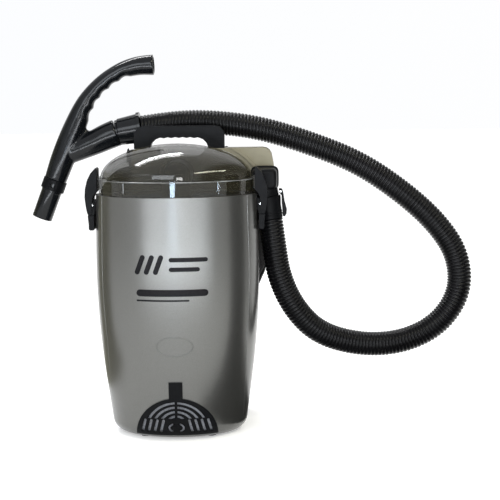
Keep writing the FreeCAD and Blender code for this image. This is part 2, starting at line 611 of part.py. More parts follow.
def make_release_lever():
    px, pz = RELEASE_PIN
    lever = prism([(158.2, 373.2), (160.0, 374.4), (163.4, 373.0), (165.2, 366), (167.0, 354), (170.4, 341),
                   (169.8, 334.5), (167.2, 330.2), (163.8, 330.8), (163.4, 340), (162.4, 353), (162.3, 363.6),
                   (158.2, 367.6)], "xz", INLET_Y - 6.0, INLET_Y + 6.0)
    return lever.cut(rod((px, 20, pz), (0, 1, 0), RELEASE_PIN_R + FIT, 50))


def make_machine_cuff():
    start = INLET_TOP + INLET_AXIS * CUFF_TOP_STEP
    cuff = rod(start, INLET_AXIS, CUFF_R, CUFF_LENGTH)
    for step in (24.0, 28.0):
        cuff = cuff.fuse(rod(start + INLET_AXIS * step, INLET_AXIS, CUFF_R + 0.7, 1.6))
    cuff = cuff.cut(rod(start - INLET_AXIS, INLET_AXIS, CUFF_BORE, CUFF_LENGTH + 2))
    return cuff.cut(box(160.9, 175, INLET_Y - 7.5, INLET_Y + 7.5, 320, 372))


# ---- Handles ----------------------------------------------------------------------------------------
def make_carry_handle():
    outer = [(-72, 437.1), (-72, 462), (-66, 470.5), (-56, 473), (56, 473), (66, 470.5), (72, 462), (72, 437.1)]
    inner = [(47, 437.1), (43.5, 446), (38, 451.5), (30, 454.5), (24, 453.4), (18, 455), (12, 453.6),
             (6, 455.2), (0, 453.8)]
    inner = inner + [(-x, z) for x, z in reversed(inner[:-1])]
    bar = prism(outer + inner, "xz", 69, 88.5)
    screws = []
    for x in (-59.5, 59.5):
        for y in (74.0, 83.5):
            screws.append(rod((x, y, 428), (0, 0, 1), 2.0, 20))
    screws = Part.makeCompound(screws)
    return bar.cut(screws), screws


def make_bent_end():
    grip = station_loft(GRIP_STATIONS, WAND_Y)
    for x, z in ((-139.0, 499.0), (-128.0, 514.5), (-113.5, 526.5), (-97.0, 536.5), (-79.0, 544.0)):
        grip = grip.cut(rod((x, WAND_Y - 40, z), (0, 1, 0), 10.0, 80))
    branch = station_loft(BRANCH_STATIONS, WAND_Y)
    web = prism([(-180, 470), (-186, 430), (-150, 447), (-158, 466), (-161, 486)], "xz", WAND_Y - 8, WAND_Y + 8)
    body = grip.fuse([branch, web])
    axis = SWIVEL_AXIS
    spigot = rod(SWIVEL_POINT - axis * 4.0, axis, SPIGOT_R, 4.0 + 26.0)
    body = body.cut(rod(SWIVEL_POINT - axis * 0.4, axis, 40, 60)).fuse(spigot)
    body = body.cut(rod(SOCKET - RISE * 6.0, RISE, 30, 6.0 + WAND_SPIGOT_LENGTH))
    body = body.fuse(rod(SOCKET, RISE, WAND_SPIGOT_R, WAND_SPIGOT_LENGTH))
    crotch = Vector(-193.0, WAND_Y, 423.0)
    for start, end in ((SOCKET - RISE, crotch), (crotch, SWIVEL_POINT - axis * 4.0)):
        body = body.cut(rod(start, end - start, GRIP_BORE, (end - start).Length))
    body = body.cut(Part.makeSphere(GRIP_BORE, crotch))
    body = body.cut(rod(SWIVEL_POINT - axis * 10.0, axis, GRIP_BORE + 1.5, 50.0))
    seat = SOCKET + RISE * (WAND_SPIGOT_LENGTH + 3.0)
    seat_cut = rod(seat, RISE, 30, 18.0).cut(rod(seat - RISE, RISE, RING_SEAT_R, 20.0))
    body = body.cut(seat_cut)
    hole = rod(seat + RISE * 9.0, Vector(0, -1, 0), 3.6, 30)
    ring = pipe(seat + RISE * 0.4, RISE, 19.2, RING_SEAT_R + 2 * FIT, 17.2)
    ring = ring.cut(hole)
    for k in range(10):
        notch = rod(seat + RISE * 0.4, RISE, 1.1, 17.2)
        notch.translate(Vector(0, 19.6, 0))
        notch.rotate(seat, RISE, 36 * k + 18)
        ring = ring.cut(notch)
    return body.cut(hole), ring


def make_swivel_cuff():
    axis = SWIVEL_AXIS
    cuff = Part.makeCone(21.6, 24.2, SWIVEL_CUFF_LENGTH, SWIVEL_POINT, axis)
    cuff = cuff.fuse(rod(SWIVEL_POINT + axis * (SWIVEL_CUFF_LENGTH - 5.0), axis, 26.0, 5.0))
    cuff = cuff.cut(rod(SWIVEL_POINT - axis, axis, SPIGOT_R + FIT * 2, 28.0))
    return cuff.cut(rod(SWIVEL_POINT, axis, CUFF_BORE, 60.0))


# ---- Switch ---------------------------------------------------------------------------------------------
def make_switch():
    bezel = box(-78.6, -76.0, 74.5, 97.5, 375.5, 404.5).cut(box(-80, -70, 77.5, 94.5, 379.1, 400.9))
    rocker = prism([(-73.6, 380.2), (-79.2, 380.0), (-77.7, 390.0), (-79.2, 400.0), (-73.6, 399.8)],
                   "xz", 77.9, 94.1)
    x, z = SWITCH_PIVOT
    rocker.rotate(Vector(x, 86, z), Vector(0, 1, 0), 7)
    rocker = rocker.fuse(rod((x, 77.6, z), (0, 1, 0), 1.6, 16.8))
    bezel = bezel.fuse(box(-76.0, -66.0, 76.0, 96.0, 377.6, 402.4).cut(box(-80, -70, 77.5, 94.5, 379.1, 400.9)))
    board = box(-68, -34, 76, 78, 330, 372)
    gland = pipe((-52, 86, 288), (0, 0, 1), 8.5, 4.0, 12.0).fuse(pipe((-52, 86, 300), (0, 0, 1), 5.9, 4.0, 6.0))
    return {"rocker_switch_body": bezel, "switch_rocker": rocker, "control_board": board,
            "cord_gland": gland}


# ---- Harness ----------------------------------------------------------------------------------------------
def folded_wing():
    """A belt wing folded back on itself: two flat layers and a round fold."""
    low, high = 46, 104
    y0 = 115.6
    turn = 88.0
    middle = y0 + WING_THICK + WING_GAP / 2
    radius = WING_THICK + WING_GAP / 2
    fold = pipe((turn, middle, low), (0, 0, 1), radius, WING_GAP / 2, high - low)
    fold = fold.common(box(turn, turn + 50, 100, 170, low, high))
    inner_layer = box(24, turn, middle + WING_GAP / 2, middle + radius, low, high)
    return box(8, turn, y0, y0 + WING_THICK, low, high).fuse([fold, inner_layer])


def make_harness(casing_outer):
    parts = {}
    plate = prism([(-88, 42), (88, 42), (96, 60), (96, 380), (78, 414), (-78, 414), (-96, 380), (-96, 60)],
                  "xz", PLATE_FRONT, PLATE_REAR)
    for z in (150, 230, 310):
        plate = plate.cut(rounded_slot((-40, z), (40, z), 9.0, 100, 120))
    parts["harness_plate"] = plate
    foot = box(-42, 42, 30, PLATE_FRONT, 66, 104).cut(box(-39, 39, 20, PLATE_FRONT - 3.0, 69, 101))
    parts["harness_bracket"] = foot.fuse(box(-42, 42, 30, 70, 66, 104)).cut(casing_outer)
    right = [(0, 120), (92, 120), (102, 150), (123, 212), (139.5, 244), (139.5, 356), (122, 390), (92, 410),
             (0, 412)]
    outline = right + [(-x, z) for x, z in reversed(right[1:-1])]
    parts["back_pad"] = prism(outline, "xz", PLATE_REAR + 0.3, PAD_REAR)
    parts["shoulder_strap"] = band(STRAP_LINE, 12.0, 38, 88)
    parts["strap_webbing"] = band([(138, 156), (137.4, 141), (136, 125), (134, 110)], 2.0, 50.5, 75.5)
    adjuster = box(46, 80, 140, 147, 128, 150)
    for z in (132, 141):
        adjuster = adjuster.cut(box(49.5, 76.5, 137, 150, z, z + 5))
    parts["strap_adjuster"] = adjuster
    parts["waist_belt"] = folded_wing()
    return parts


def make_buckle():
    socket = box(-21, -2.5, 138.5, 148.5, 60, 90).cut(box(-16, -2, 140.5, 146.5, 63, 87))
    tongue = box(8.0, 20.5, 138.5, 148.5, 60, 90)
    for z in (63.5, 82.5):
        tongue = tongue.fuse(box(-1.6, 8.0, 141.3, 145.7, z, z + 4.0))
    return socket, tongue


# ---- Build ---------------------------------------------------------------------------------------------------
def pair(shape):
    return Part.makeCompound([shape, mirrored(shape)])


def build():
    nodes = {}
    casing_outer = casing_solid(0.0)
    nodes["front_shell"], nodes["rear_shell"] = make_casing(casing_outer)
    nodes["base_feet"] = make_feet()
    nodes["exhaust_grille"] = make_grille()
    nodes["exhaust_filter"] = make_exhaust_filter()
    nodes.update(make_motor())
    nodes.update(make_filters())
    nodes.update(make_lid())

    latch = make_latch(casing_outer)
    for name in ("latch_lever", "latch_hook"):
        nodes[name + "_right"] = latch[name]
        nodes[name + "_left"] = mirrored(latch[name])
    nodes["latch_brackets"] = pair(latch["latch_base"])
    housing, nodes["housing_cover"], cover_screws = make_housing(casing_outer)
    nodes["port_seal"] = make_port_seal()
    nodes["inlet_elbow"], release_pin = make_inlet_elbow()
    nodes["hinge_pins"] = Part.makeCompound([pair(latch["latch_pin"]), release_pin])
    nodes["release_lever"] = make_release_lever()
    nodes["inlet_cuff"] = make_machine_cuff()
    nodes["carry_handle"], handle_screws = make_carry_handle()
    nodes["inlet_housing"] = housing.cut(handle_screws)
    nodes["screws"] = Part.makeCompound([cover_screws, handle_screws])
    nodes["bent_end"], nodes["bleed_ring"] = make_bent_end()
    nodes["swivel_cuff"] = make_swivel_cuff()
    nodes.update(make_switch())

    harness = make_harness(casing_outer)
    for name in ("harness_plate", "harness_bracket", "back_pad"):
        nodes[name] = harness[name]
    for name in ("shoulder_strap", "waist_belt"):
        nodes[name + "_right"] = harness[name]
        nodes[name + "_left"] = mirrored(harness[name])
    for name in ("strap_webbing", "strap_adjuster"):
        nodes[name] = pair(harness[name])
    nodes["buckle_socket"], nodes["buckle_tongue"] = make_buckle()
    nodes["hose"] = hose_tube(HOSE_ROUTE, HOSE_R, HOSE_BORE)
    return nodes


os.makedirs("parts", exist_ok=True)
for node, solid in build().items():
    solid.exportStep(f"parts/{node}.step")
    print(f"{node}: {len(solid.Solids)} solid(s), {solid.Volume / 1000:.1f} cm3, valid {solid.isValid()}")
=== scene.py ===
import json
import math

import bmesh
import bpy
from mathutils import Matrix, Vector, noise
from mathutils.bvhtree import BVHTree


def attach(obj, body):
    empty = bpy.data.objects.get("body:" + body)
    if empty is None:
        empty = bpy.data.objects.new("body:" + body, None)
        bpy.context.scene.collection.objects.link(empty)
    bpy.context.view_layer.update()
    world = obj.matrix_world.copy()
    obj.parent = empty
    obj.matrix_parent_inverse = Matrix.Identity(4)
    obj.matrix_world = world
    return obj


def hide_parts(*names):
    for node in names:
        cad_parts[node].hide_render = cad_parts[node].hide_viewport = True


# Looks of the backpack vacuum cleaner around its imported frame.  Metres, +Z up, -Y is the front.

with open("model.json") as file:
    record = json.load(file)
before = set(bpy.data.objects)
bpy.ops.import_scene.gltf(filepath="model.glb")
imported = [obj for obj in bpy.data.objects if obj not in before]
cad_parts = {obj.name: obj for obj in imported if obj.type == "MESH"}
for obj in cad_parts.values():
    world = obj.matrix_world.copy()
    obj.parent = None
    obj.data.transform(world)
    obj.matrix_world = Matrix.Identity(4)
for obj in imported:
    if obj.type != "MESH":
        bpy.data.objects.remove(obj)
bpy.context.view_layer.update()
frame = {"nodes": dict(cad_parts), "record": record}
NODES = frame["nodes"]
MM = 0.001

# ---- Camera ------------------------------------------------------------------------------
CAMERA_YAW = math.radians(1.5)
CAMERA_ELEVATION = math.radians(7.0)
CAMERA_ROLL = math.radians(-0.7)
CAMERA_DISTANCE = 2.2
CAMERA_TARGET = Vector((0.1126, 0.0, 0.282))
CAMERA_LENS = 102.0


def make_camera():
    """A long lens, a little above the machine and a little to its right."""
    view = Vector((-math.sin(CAMERA_YAW) * math.cos(CAMERA_ELEVATION),
                   math.cos(CAMERA_YAW) * math.cos(CAMERA_ELEVATION), -math.sin(CAMERA_ELEVATION)))
    level = Vector((math.cos(CAMERA_YAW), math.sin(CAMERA_YAW), 0.0))
    upward = level.cross(view)
    right = level * math.cos(CAMERA_ROLL) + upward * math.sin(CAMERA_ROLL)
    up = upward * math.cos(CAMERA_ROLL) - level * math.sin(CAMERA_ROLL)
    camera = bpy.data.objects.new("camera", bpy.data.cameras.new("camera"))
    bpy.context.scene.collection.objects.link(camera)
    turn = Matrix((right, up, -view)).transposed().to_4x4()
    camera.matrix_world = Matrix.Translation(CAMERA_TARGET - view * CAMERA_DISTANCE) @ turn
    camera.data.lens = CAMERA_LENS
    camera.data.sensor_width = 36.0
    bpy.context.scene.camera = camera


make_camera()


# ---- Mesh helpers -------------------------------------------------------------------------
def add_object(name, data, body, material, smooth=True):
    """Links a finished piece, lets it ride on its body and gives it its material."""
    piece = bpy.data.objects.new(name, data)
    bpy.context.scene.collection.objects.link(piece)
    if data.materials:
        data.materials.clear()
    data.materials.append(material)
    data.polygons.foreach_set("use_smooth", [smooth] * len(data.polygons))
    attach(piece, body)
    return piece


def mesh_of(name, vertices, faces):
    mesh = bpy.data.meshes.new(name)
    mesh.from_pydata(vertices, [], faces)
    mesh.update()
    return mesh


def spline_points(route, detail=24):
    """Points along one smooth NURBS curve that has the route's points as its control points."""
    curve = bpy.data.curves.new("route", "CURVE")
    curve.dimensions = "3D"
    spline = curve.splines.new("NURBS")
    spline.points.add(len(route) - 1)
    for point, place in zip(spline.points, route):
        point.co = (*place, 1.0)
    spline.order_u = 3
    spline.use_endpoint_u = True
    spline.resolution_u = detail
    holder = bpy.data.objects.new("route", curve)
    mesh = bpy.data.meshes.new_from_object(holder)
    points = [v.co.copy() for v in mesh.vertices]
    bpy.data.objects.remove(holder)
    bpy.data.curves.remove(curve)
    bpy.data.meshes.remove(mesh)
    return points


def resample(points, spacing):
    """The same line with evenly spaced points, and its length."""
    length = sum((b - a).length for a, b in zip(points, points[1:]))
    count = max(2, round(length / spacing))
    step = length / count
    placed = [points[0].copy()]
    walked = 0.0
    for a, b in zip(points, points[1:]):
        run = (b - a).length
        while len(placed) < count and walked + run >= step * len(placed) - 1e-12:
            placed.append(a.lerp(b, (step * len(placed) - walked) / run))
        walked += run
    placed.append(points[-1].copy())
    return placed, length


def tangents(points):
    ends = [(points[max(i - 1, 0)], points[min(i + 1, len(points) - 1)]) for i in range(len(points))]
    return [(b - a).normalized() for a, b in ends]


def carried_frames(points, side=None):
    """A side and a rise direction at each point, carried along the line without twist."""
    along = tangents(points)
    start = side or (Vector((0, 0, 1)) if abs(along[0].z) < 0.9 else Vector((0, 1, 0)))
    current = (start - along[0] * start.dot(along[0])).normalized()
    frames = []
    for tangent in along:
        current = (current - tangent * current.dot(tangent)).normalized()
        frames.append((current, tangent.cross(current)))
    return frames


def loft(name, rings):
    """Closed skin over rings of the same number of points, with a flat cap on each end."""
    sides = len(rings[0])
    vertices = [p for ring in rings for p in ring]
    faces = []
    for i in range(len(rings) - 1):
        for k in range(sides):
            a, b = i * sides + k, i * sides + (k + 1) % sides
            faces.append((a, b, b + sides, a + sides))
    faces.append(tuple(reversed(range(sides))))
    faces.append(tuple(range(len(vertices) - sides, len(vertices))))
    mesh = mesh_of(name, vertices, faces)
    work = bmesh.new()
    work.from_mesh(mesh)
    bmesh.ops.recalc_face_normals(work, faces=work.faces)
    work.to_mesh(mesh)
    work.free()
    return mesh


def sweep(name, points, section, side=None):
    """A section, given as (across, up) offsets, pushed along a line of points."""
    rings = []
    for point, (across, up) in zip(points, carried_frames(points, side)):
        rings.append([point + across * a + up * b for a, b in section])
    return loft(name, rings)


def round_section(radius, sides):
    return [(radius * math.cos(2 * math.pi * k / sides), radius * math.sin(2 * math.pi * k / sides))
            for k in range(sides)]


def pill_section(width, thickness, corner_steps=4):
    """A flat section with round edges: width across, thickness up."""
    radius = thickness / 2
    reach = width / 2 - radius
    points = []
    for centre, start in ((reach, -90), (-reach, 90)):
        for k in range(corner_steps * 2 + 1):
            angle = math.radians(start + 180 * k / (corner_steps * 2))
            points.append((centre + radius * math.cos(angle), radius * math.sin(angle)))
    return points


# ---- Hose: first, because its route has to fit the frame --------------------------------------
HOSE_ROUTE = [(0.144, 0.0445, 0.327), (0.149, 0.0448, 0.289), (0.157, 0.048, 0.232),
              (0.182, 0.055, 0.178), (0.222, 0.064, 0.137), (0.290, 0.074, 0.117),
              (0.358, 0.082, 0.120), (0.416, 0.089, 0.148), (0.450, 0.093, 0.200),
              (0.446, 0.0975, 0.260), (0.412, 0.102, 0.312), (0.357, 0.106, 0.362),
              (0.287, 0.110, 0.410), (0.208, 0.1125, 0.442), (0.125, 0.1145, 0.468),
              (0.045, 0.1155, 0.478), (-0.0185, 0.116, 0.4763), (-0.0635, 0.116, 0.469)]
HOSE_DIAMETER = 0.039
RIB_PITCH = 0.0055
RIB_DEPTH = 0.0021
RIB_STEPS = 6
HOSE_SIDES = 40


def rib_height(phase):
    """Share of the rib's height, from 0 in the groove to 1 on the round crest."""
    return 1.0 - abs(2.0 * phase - 1.0) ** 3.2


def make_hose(material):
    """A corrugated hose: round ribs with narrow grooves between them."""
    points, length = resample(spline_points(HOSE_ROUTE), RIB_PITCH / RIB_STEPS)
    ribs = round(length / RIB_PITCH)
    points, length = resample(points, length / (ribs * RIB_STEPS))
    rings = []
    for i, (point, (across, up)) in enumerate(zip(points, carried_frames(points))):
        height = rib_height((i % RIB_STEPS) / RIB_STEPS)
        radius = HOSE_DIAMETER / 2 - RIB_DEPTH * (1.0 - height)
        rings.append([point + across * a + up * b for a, b in round_section(radius, HOSE_SIDES)])
    hose = add_object("ribbed_hose", loft("ribbed_hose", rings), "machine", material)
    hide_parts("hose")
    return hose


# ---- Materials ---------------------------------------------------------------------------------
class Paint:
    """A Principled material with its nodes in reach, read in the row frame's own coordinates."""

    def __init__(self, name, **sockets):
        self.material = bpy.data.materials.new(name)
        self.material.use_nodes = True
        self.nodes = self.material.node_tree.nodes
        self.links = self.material.node_tree.links
        self.shader = self.nodes["Principled BSDF"]
        self.coordinates = self.nodes.new("ShaderNodeTexCoord")
        self.bump_input = None
        for socket, value in sockets.items():
            self.shader.inputs[socket.replace("_", " ")].default_value = value

    def mapped(self, stretch):
        """Object coordinates, stretched by three factors."""
        mapping = self.nodes.new("ShaderNodeMapping")
        mapping.inputs["Scale"].default_value = stretch
        self.links.new(self.coordinates.outputs["Object"], mapping.inputs["Vector"])
        return mapping.outputs["Vector"]

    def noise(self, scale, detail=3.0, stretch=(1, 1, 1), roughness=0.5):
        texture = self.nodes.new("ShaderNodeTexNoise")
        texture.inputs["Scale"].default_value = scale
        texture.inputs["Detail"].default_value = detail
        texture.inputs["Roughness"].default_value = roughness
        self.links.new(self.mapped(stretch), texture.inputs["Vector"])
        return texture.outputs["Fac"]

    def cells(self, scale, stretch=(1, 1, 1), feature="F1"):
        texture = self.nodes.new("ShaderNodeTexVoronoi")
        texture.feature = feature
        texture.inputs["Scale"].default_value = scale
        self.links.new(self.mapped(stretch), texture.inputs["Vector"])
        return texture.outputs["Distance"]

    def waves(self, scale, direction, distortion=0.0, stretch=(1, 1, 1)):
        texture = self.nodes.new("ShaderNodeTexWave")
        texture.bands_direction = direction
        texture.inputs["Scale"].default_value = scale
        texture.inputs["Distortion"].default_value = distortion
        self.links.new(self.mapped(stretch), texture.inputs["Vector"])
        return texture.outputs["Fac"]

    def combined(self, a, b, operation="MULTIPLY"):
        maths = self.nodes.new("ShaderNodeMath")
        maths.operation = operation
        self.links.new(a, maths.inputs[0])
        if isinstance(b, (int, float)):
            maths.inputs[1].default_value = b
        else:
            self.links.new(b, maths.inputs[1])
        return maths.outputs[0]

    def ramp(self, factor, stops):
        """Colour stops, each a position and an RGB or grey value."""
        ramp = self.nodes.new("ShaderNodeValToRGB")
        elements = ramp.color_ramp.elements
        while len(elements) < len(stops):
            elements.new(0.5)
        for element, (position, colour) in zip(elements, stops):
            element.position = position
            rgb = (colour,) * 3 if isinstance(colour, (int, float)) else colour
            element.color = (*rgb, 1.0)
        self.links.new(factor, ramp.inputs["Fac"])
        return ramp.outputs["Color"]

    def colour(self, factor, stops):
        self.links.new(self.ramp(factor, stops), self.shader.inputs["Base Color"])
        return self

    def roughness(self, factor, low, high):
        spread = self.nodes.new("ShaderNodeMapRange")
        spread.inputs["To Min"].default_value = low
        spread.inputs["To Max"].default_value = high
        self.links.new(factor, spread.inputs["Value"])
        self.links.new(spread.outputs["Result"], self.shader.inputs["Roughness"])
        return self

    def soft_edges(self, radius):
        """Moulded edges: the shading turns over a small radius where two faces meet."""
        bevel = self.nodes.new("ShaderNodeBevel")
        bevel.samples = 4
        bevel.inputs["Radius"].default_value = radius
        self.bump_input = bevel.outputs["Normal"]
        self.links.new(self.bump_input, self.shader.inputs["Normal"])
        return self

    def bump(self, height, strength, distance):
        """Adds one more layer of relief on top of those given before."""
        node = self.nodes.new("ShaderNodeBump")
        node.inputs["Strength"].default_value = strength
        node.inputs["Distance"].default_value = distance
        self.links.new(height, node.inputs["Height"])
        if self.bump_input is not None:
            self.links.new(self.bump_input, node.inputs["Normal"])
        self.bump_input = node.outputs["Normal"]
        self.links.new(self.bump_input, self.shader.inputs["Normal"])
        return self


def silver_lacquer():
    paint = Paint("silver_lacquer", Metallic=0.85, Coat_Weight=0.25, Coat_Roughness=0.18)
    paint.soft_edges(0.0008)
    flakes = paint.noise(2600, 2.0)
    paint.colour(flakes, [(0.30, (0.093, 0.093, 0.088)), (0.72, (0.160, 0.161, 0.156))])
    paint.roughness(paint.noise(9, 2.0), 0.26, 0.32)
    paint.bump(paint.noise(420, 2.0), 0.05, 0.0002)
    return paint.material


def smoke_plastic():
    paint = Paint("smoke_polycarbonate", Alpha=0.43, Specular_IOR_Level=0.55, Coat_Weight=0.6, Coat_IOR=1.5,
                  Coat_Roughness=0.02)
    paint.colour(paint.noise(20, 4.0), [(0.3, (0.013, 0.012, 0.007)), (0.8, (0.026, 0.024, 0.015))])
    paint.roughness(paint.noise(30, 5.0), 0.03, 0.08)
    paint.bump(paint.noise(7, 1.0), 0.12, 0.0020)
    return paint.material


def painted_highlight_edge():
    """The rim of a clear moulding, given a paler colour than its wall: the paler colour is a painted
    highlight along the rim.
    """
    paint = Paint("painted_highlight_edge", Specular_IOR_Level=0.9, Coat_Weight=0.8, Coat_Roughness=0.05)
    # The pale end of this ramp is a painted highlight on the lid's bead and marks.
    paint.colour(paint.noise(26, 4.0), [(0.35, (0.040, 0.040, 0.034)), (0.65, (0.17, 0.18, 0.185))])
    paint.roughness(paint.noise(60, 3.0), 0.10, 0.22)
    return paint.material


def satin_black():
    paint = Paint("satin_black_moulding", Specular_IOR_Level=0.07)
    paint.soft_edges(0.0009)
    paint.colour(paint.noise(60, 6.0), [(0.3, (0.0022, 0.0024, 0.0030)), (0.8, (0.005, 0.0054, 0.0062))])
    paint.roughness(paint.noise(18, 5.0), 0.30, 0.46)
    paint.bump(paint.noise(1500, 2.0), 0.20, 0.0002)
    return paint.material


def gloss_black():
    paint = Paint("gloss_black_moulding", Specular_IOR_Level=0.26)
    paint.soft_edges(0.0009)
    paint.colour(paint.noise(40, 6.0), [(0.3, (0.002, 0.0025, 0.0035)), (0.8, (0.005, 0.006, 0.007))])
    paint.roughness(paint.noise(25, 6.0, roughness=0.7), 0.09, 0.22)
    paint.bump(paint.noise(35, 3.0), 0.10, 0.0010)
    return paint.material


def hose_black():
    paint = Paint("hose_black", Specular_IOR_Level=0.16)
    paint.colour(paint.noise(22, 6.0), [(0.3, (0.0018, 0.0018, 0.0022)), (0.8, (0.005, 0.005, 0.0058))])
    paint.roughness(paint.noise(30, 5.0), 0.20, 0.34)
    paint.bump(paint.noise(900, 2.0), 0.08, 0.0002)
    return paint.material


def grey_painted_warm_light():
    paint = Paint("grey_moulding_painted_warm_light")
    paint.soft_edges(0.0010)
    # Painted warm light: the moulding is a grey plastic, and the beige tint in this ramp paints in the warm
    # light that falls on the housing.
    paint.colour(paint.noise(35, 6.0), [(0.25, (0.160, 0.143, 0.086)), (0.8, (0.215, 0.195, 0.123))])
    paint.roughness(paint.noise(20, 4.0), 0.38, 0.50)
    paint.bump(paint.noise(1100, 2.0), 0.18, 0.0002)
    return paint.material


def plain_rubber():
    paint = Paint("matt_rubber")
    paint.colour(paint.noise(50, 6.0), [(0.3, (0.016, 0.016, 0.016)), (0.8, (0.032, 0.032, 0.031))])
    paint.roughness(paint.noise(40, 4.0), 0.65, 0.85)
    paint.bump(paint.noise(1300, 3.0), 0.30, 0.0003)
    return paint.material


def weave(name, low, high, scale, directions=("X", "Z"), relief=0.5, sheen=0.05):
    """Two crossed sets of threads, with the yarn's uneven colour."""
    paint = Paint(name, Sheen_Weight=sheen, Sheen_Roughness=0.5, Specular_IOR_Level=0.15)
    threads = paint.combined(paint.waves(scale, directions[0], 0.3), paint.waves(scale, directions[1], 0.3))
    paint.colour(paint.combined(threads, paint.noise(120, 4.0), "MULTIPLY"), [(0.05, low), (0.6, high)])
    paint.roughness(paint.noise(80, 4.0), 0.70, 0.88)
    paint.bump(threads, relief, 0.0004)
    paint.bump(paint.noise(45, 4.0), 0.20, 0.0015)
    return paint.material


def mesh_fabric():
    """The open spacer mesh that faces the wearer."""
    paint = Paint("spacer_mesh", Sheen_Weight=0.05, Sheen_Roughness=0.5, Specular_IOR_Level=0.15)
    holes = paint.cells(330, (1.0, 1.0, 0.7))
    paint.colour(holes, [(0.10, (0.002, 0.002, 0.003)), (0.45, (0.024, 0.024, 0.026))])
    paint.roughness(paint.noise(60, 4.0), 0.75, 0.92)
    paint.bump(holes, 0.8, 0.0008)
    return paint.material


def tape(name, direction):
    """Woven tape: fine ribs across its length."""
    paint = Paint(name, Sheen_Weight=0.04, Sheen_Roughness=0.4, Specular_IOR_Level=0.2)
    ribs = paint.waves(300, direction, 0.4)
    paint.colour(paint.combined(ribs, paint.noise(200, 4.0)), [(0.05, (0.003, 0.003, 0.004)),
                                                                (0.6, (0.020, 0.020, 0.022))])
    paint.roughness(paint.noise(90, 4.0), 0.55, 0.75)
    paint.bump(ribs, 0.6, 0.0005)
    return paint.material


def filter_foam():
    paint = Paint("filter_foam")
    cells = paint.cells(420)
    paint.colour(cells, [(0.05, (0.14, 0.15, 0.17)), (0.5, (0.34, 0.35, 0.38))])
    paint.roughness(paint.noise(60, 4.0), 0.85, 0.95)
    paint.bump(cells, 0.7, 0.0010)
    return paint.material


def bag_paper():
    paint = Paint("bag_paper")
    paint.colour(paint.noise(180, 8.0, (1.0, 1.0, 0.25)),
                 [(0.3, (0.50, 0.40, 0.27)), (0.75, (0.66, 0.55, 0.40))])
    paint.roughness(paint.noise(90, 4.0), 0.80, 0.92)
    paint.bump(paint.noise(40, 6.0), 0.5, 0.0020)
    return paint.material


def grey_board():
    paint = Paint("grey_board")
    paint.colour(paint.noise(260, 8.0), [(0.3, (0.30, 0.25, 0.18)), (0.8, (0.42, 0.35, 0.26))])
    paint.roughness(paint.noise(120, 4.0), 0.80, 0.92)
    paint.bump(paint.noise(700, 4.0), 0.3, 0.0003)
    return paint.material


def metal(name, low, high, rough_low, rough_high, brush=(1, 1, 14)):
    paint = Paint(name, Metallic=1.0)
    strokes = paint.noise(180, 5.0, brush)
    paint.colour(strokes, [(0.3, low), (0.75, high)])
    paint.roughness(strokes, rough_low, rough_high)
    paint.bump(strokes, 0.12, 0.0002)
    return paint.material


def copper_winding():
    paint = Paint("copper_winding", Metallic=0.9, Coat_Weight=0.5, Coat_Roughness=0.2)
    wires = paint.waves(420, "Z", 0.2)
    paint.colour(wires, [(0.1, (0.20, 0.07, 0.02)), (0.7, (0.70, 0.32, 0.13))])
    paint.roughness(paint.noise(90, 3.0), 0.25, 0.40)
    paint.bump(wires, 0.9, 0.0006)
    return paint.material


def circuit_board():
    paint = Paint("circuit_board", Coat_Weight=0.3)
    tracks = paint.cells(260, (1.0, 1.0, 1.0), "DISTANCE_TO_EDGE")
    paint.colour(tracks, [(0.02, (0.30, 0.22, 0.06)), (0.06, (0.01, 0.09, 0.03))])
    paint.roughness(paint.noise(60, 3.0), 0.35, 0.50)
    return paint.material


def printed_ink():
    paint = Paint("printed_ink", Specular_IOR_Level=0.12)
    paint.colour(paint.noise(300, 5.0), [(0.3, (0.002, 0.002, 0.003)), (0.8, (0.006, 0.006, 0.007))])
    paint.roughness(paint.noise(150, 3.0), 0.35, 0.48)
    paint.bump(paint.noise(900, 2.0), 0.10, 0.0001)
    return paint.material


MATERIALS = {
    "silver_shell": silver_lacquer(),
    "smoke_lid": smoke_plastic(),
    "black_plastic": satin_black(),
    "gloss_black": gloss_black(),
    # grey housing colour with a beige tint that is painted warm light
    "grey_housing": grey_painted_warm_light(),
    "hose_plastic": hose_black(),
    "rubber": plain_rubber(),
    "fabric_black": weave("pad_nylon", (0.003, 0.003, 0.004), (0.022, 0.022, 0.024), 260),
    "mesh_fabric": mesh_fabric(),
    "webbing": tape("tape_upright", "Z"),
    "webbing_level": tape("tape_level", "X"),
    "filter_foam": filter_foam(),
    "cloth": weave("filter_cloth", (0.03, 0.035, 0.05), (0.14, 0.16, 0.21), 200, relief=0.6),
    "paper": bag_paper(),
    "card": grey_board(),
    "steel": metal("machined_steel", (0.42, 0.42, 0.43), (0.60, 0.60, 0.61), 0.22, 0.36),
    "zinc": metal("zinc_plate", (0.52, 0.52, 0.51), (0.70, 0.70, 0.69), 0.16, 0.28, (1, 1, 1)),
    "alloy": metal("spun_alloy", (0.50, 0.50, 0.51), (0.68, 0.68, 0.69), 0.26, 0.42, (1, 1, 8)),
    "copper": copper_winding(),
    "board_green": circuit_board(),
    "ink": printed_ink(),
    # pale colour that paints the highlight on the lid's bead and marks
    "edge": painted_highlight_edge(),
    "thread": weave("thread", (0.02, 0.02, 0.022), (0.10, 0.10, 0.105), 900, relief=0.2),
}

make_hose(MATERIALS["hose_plastic"])

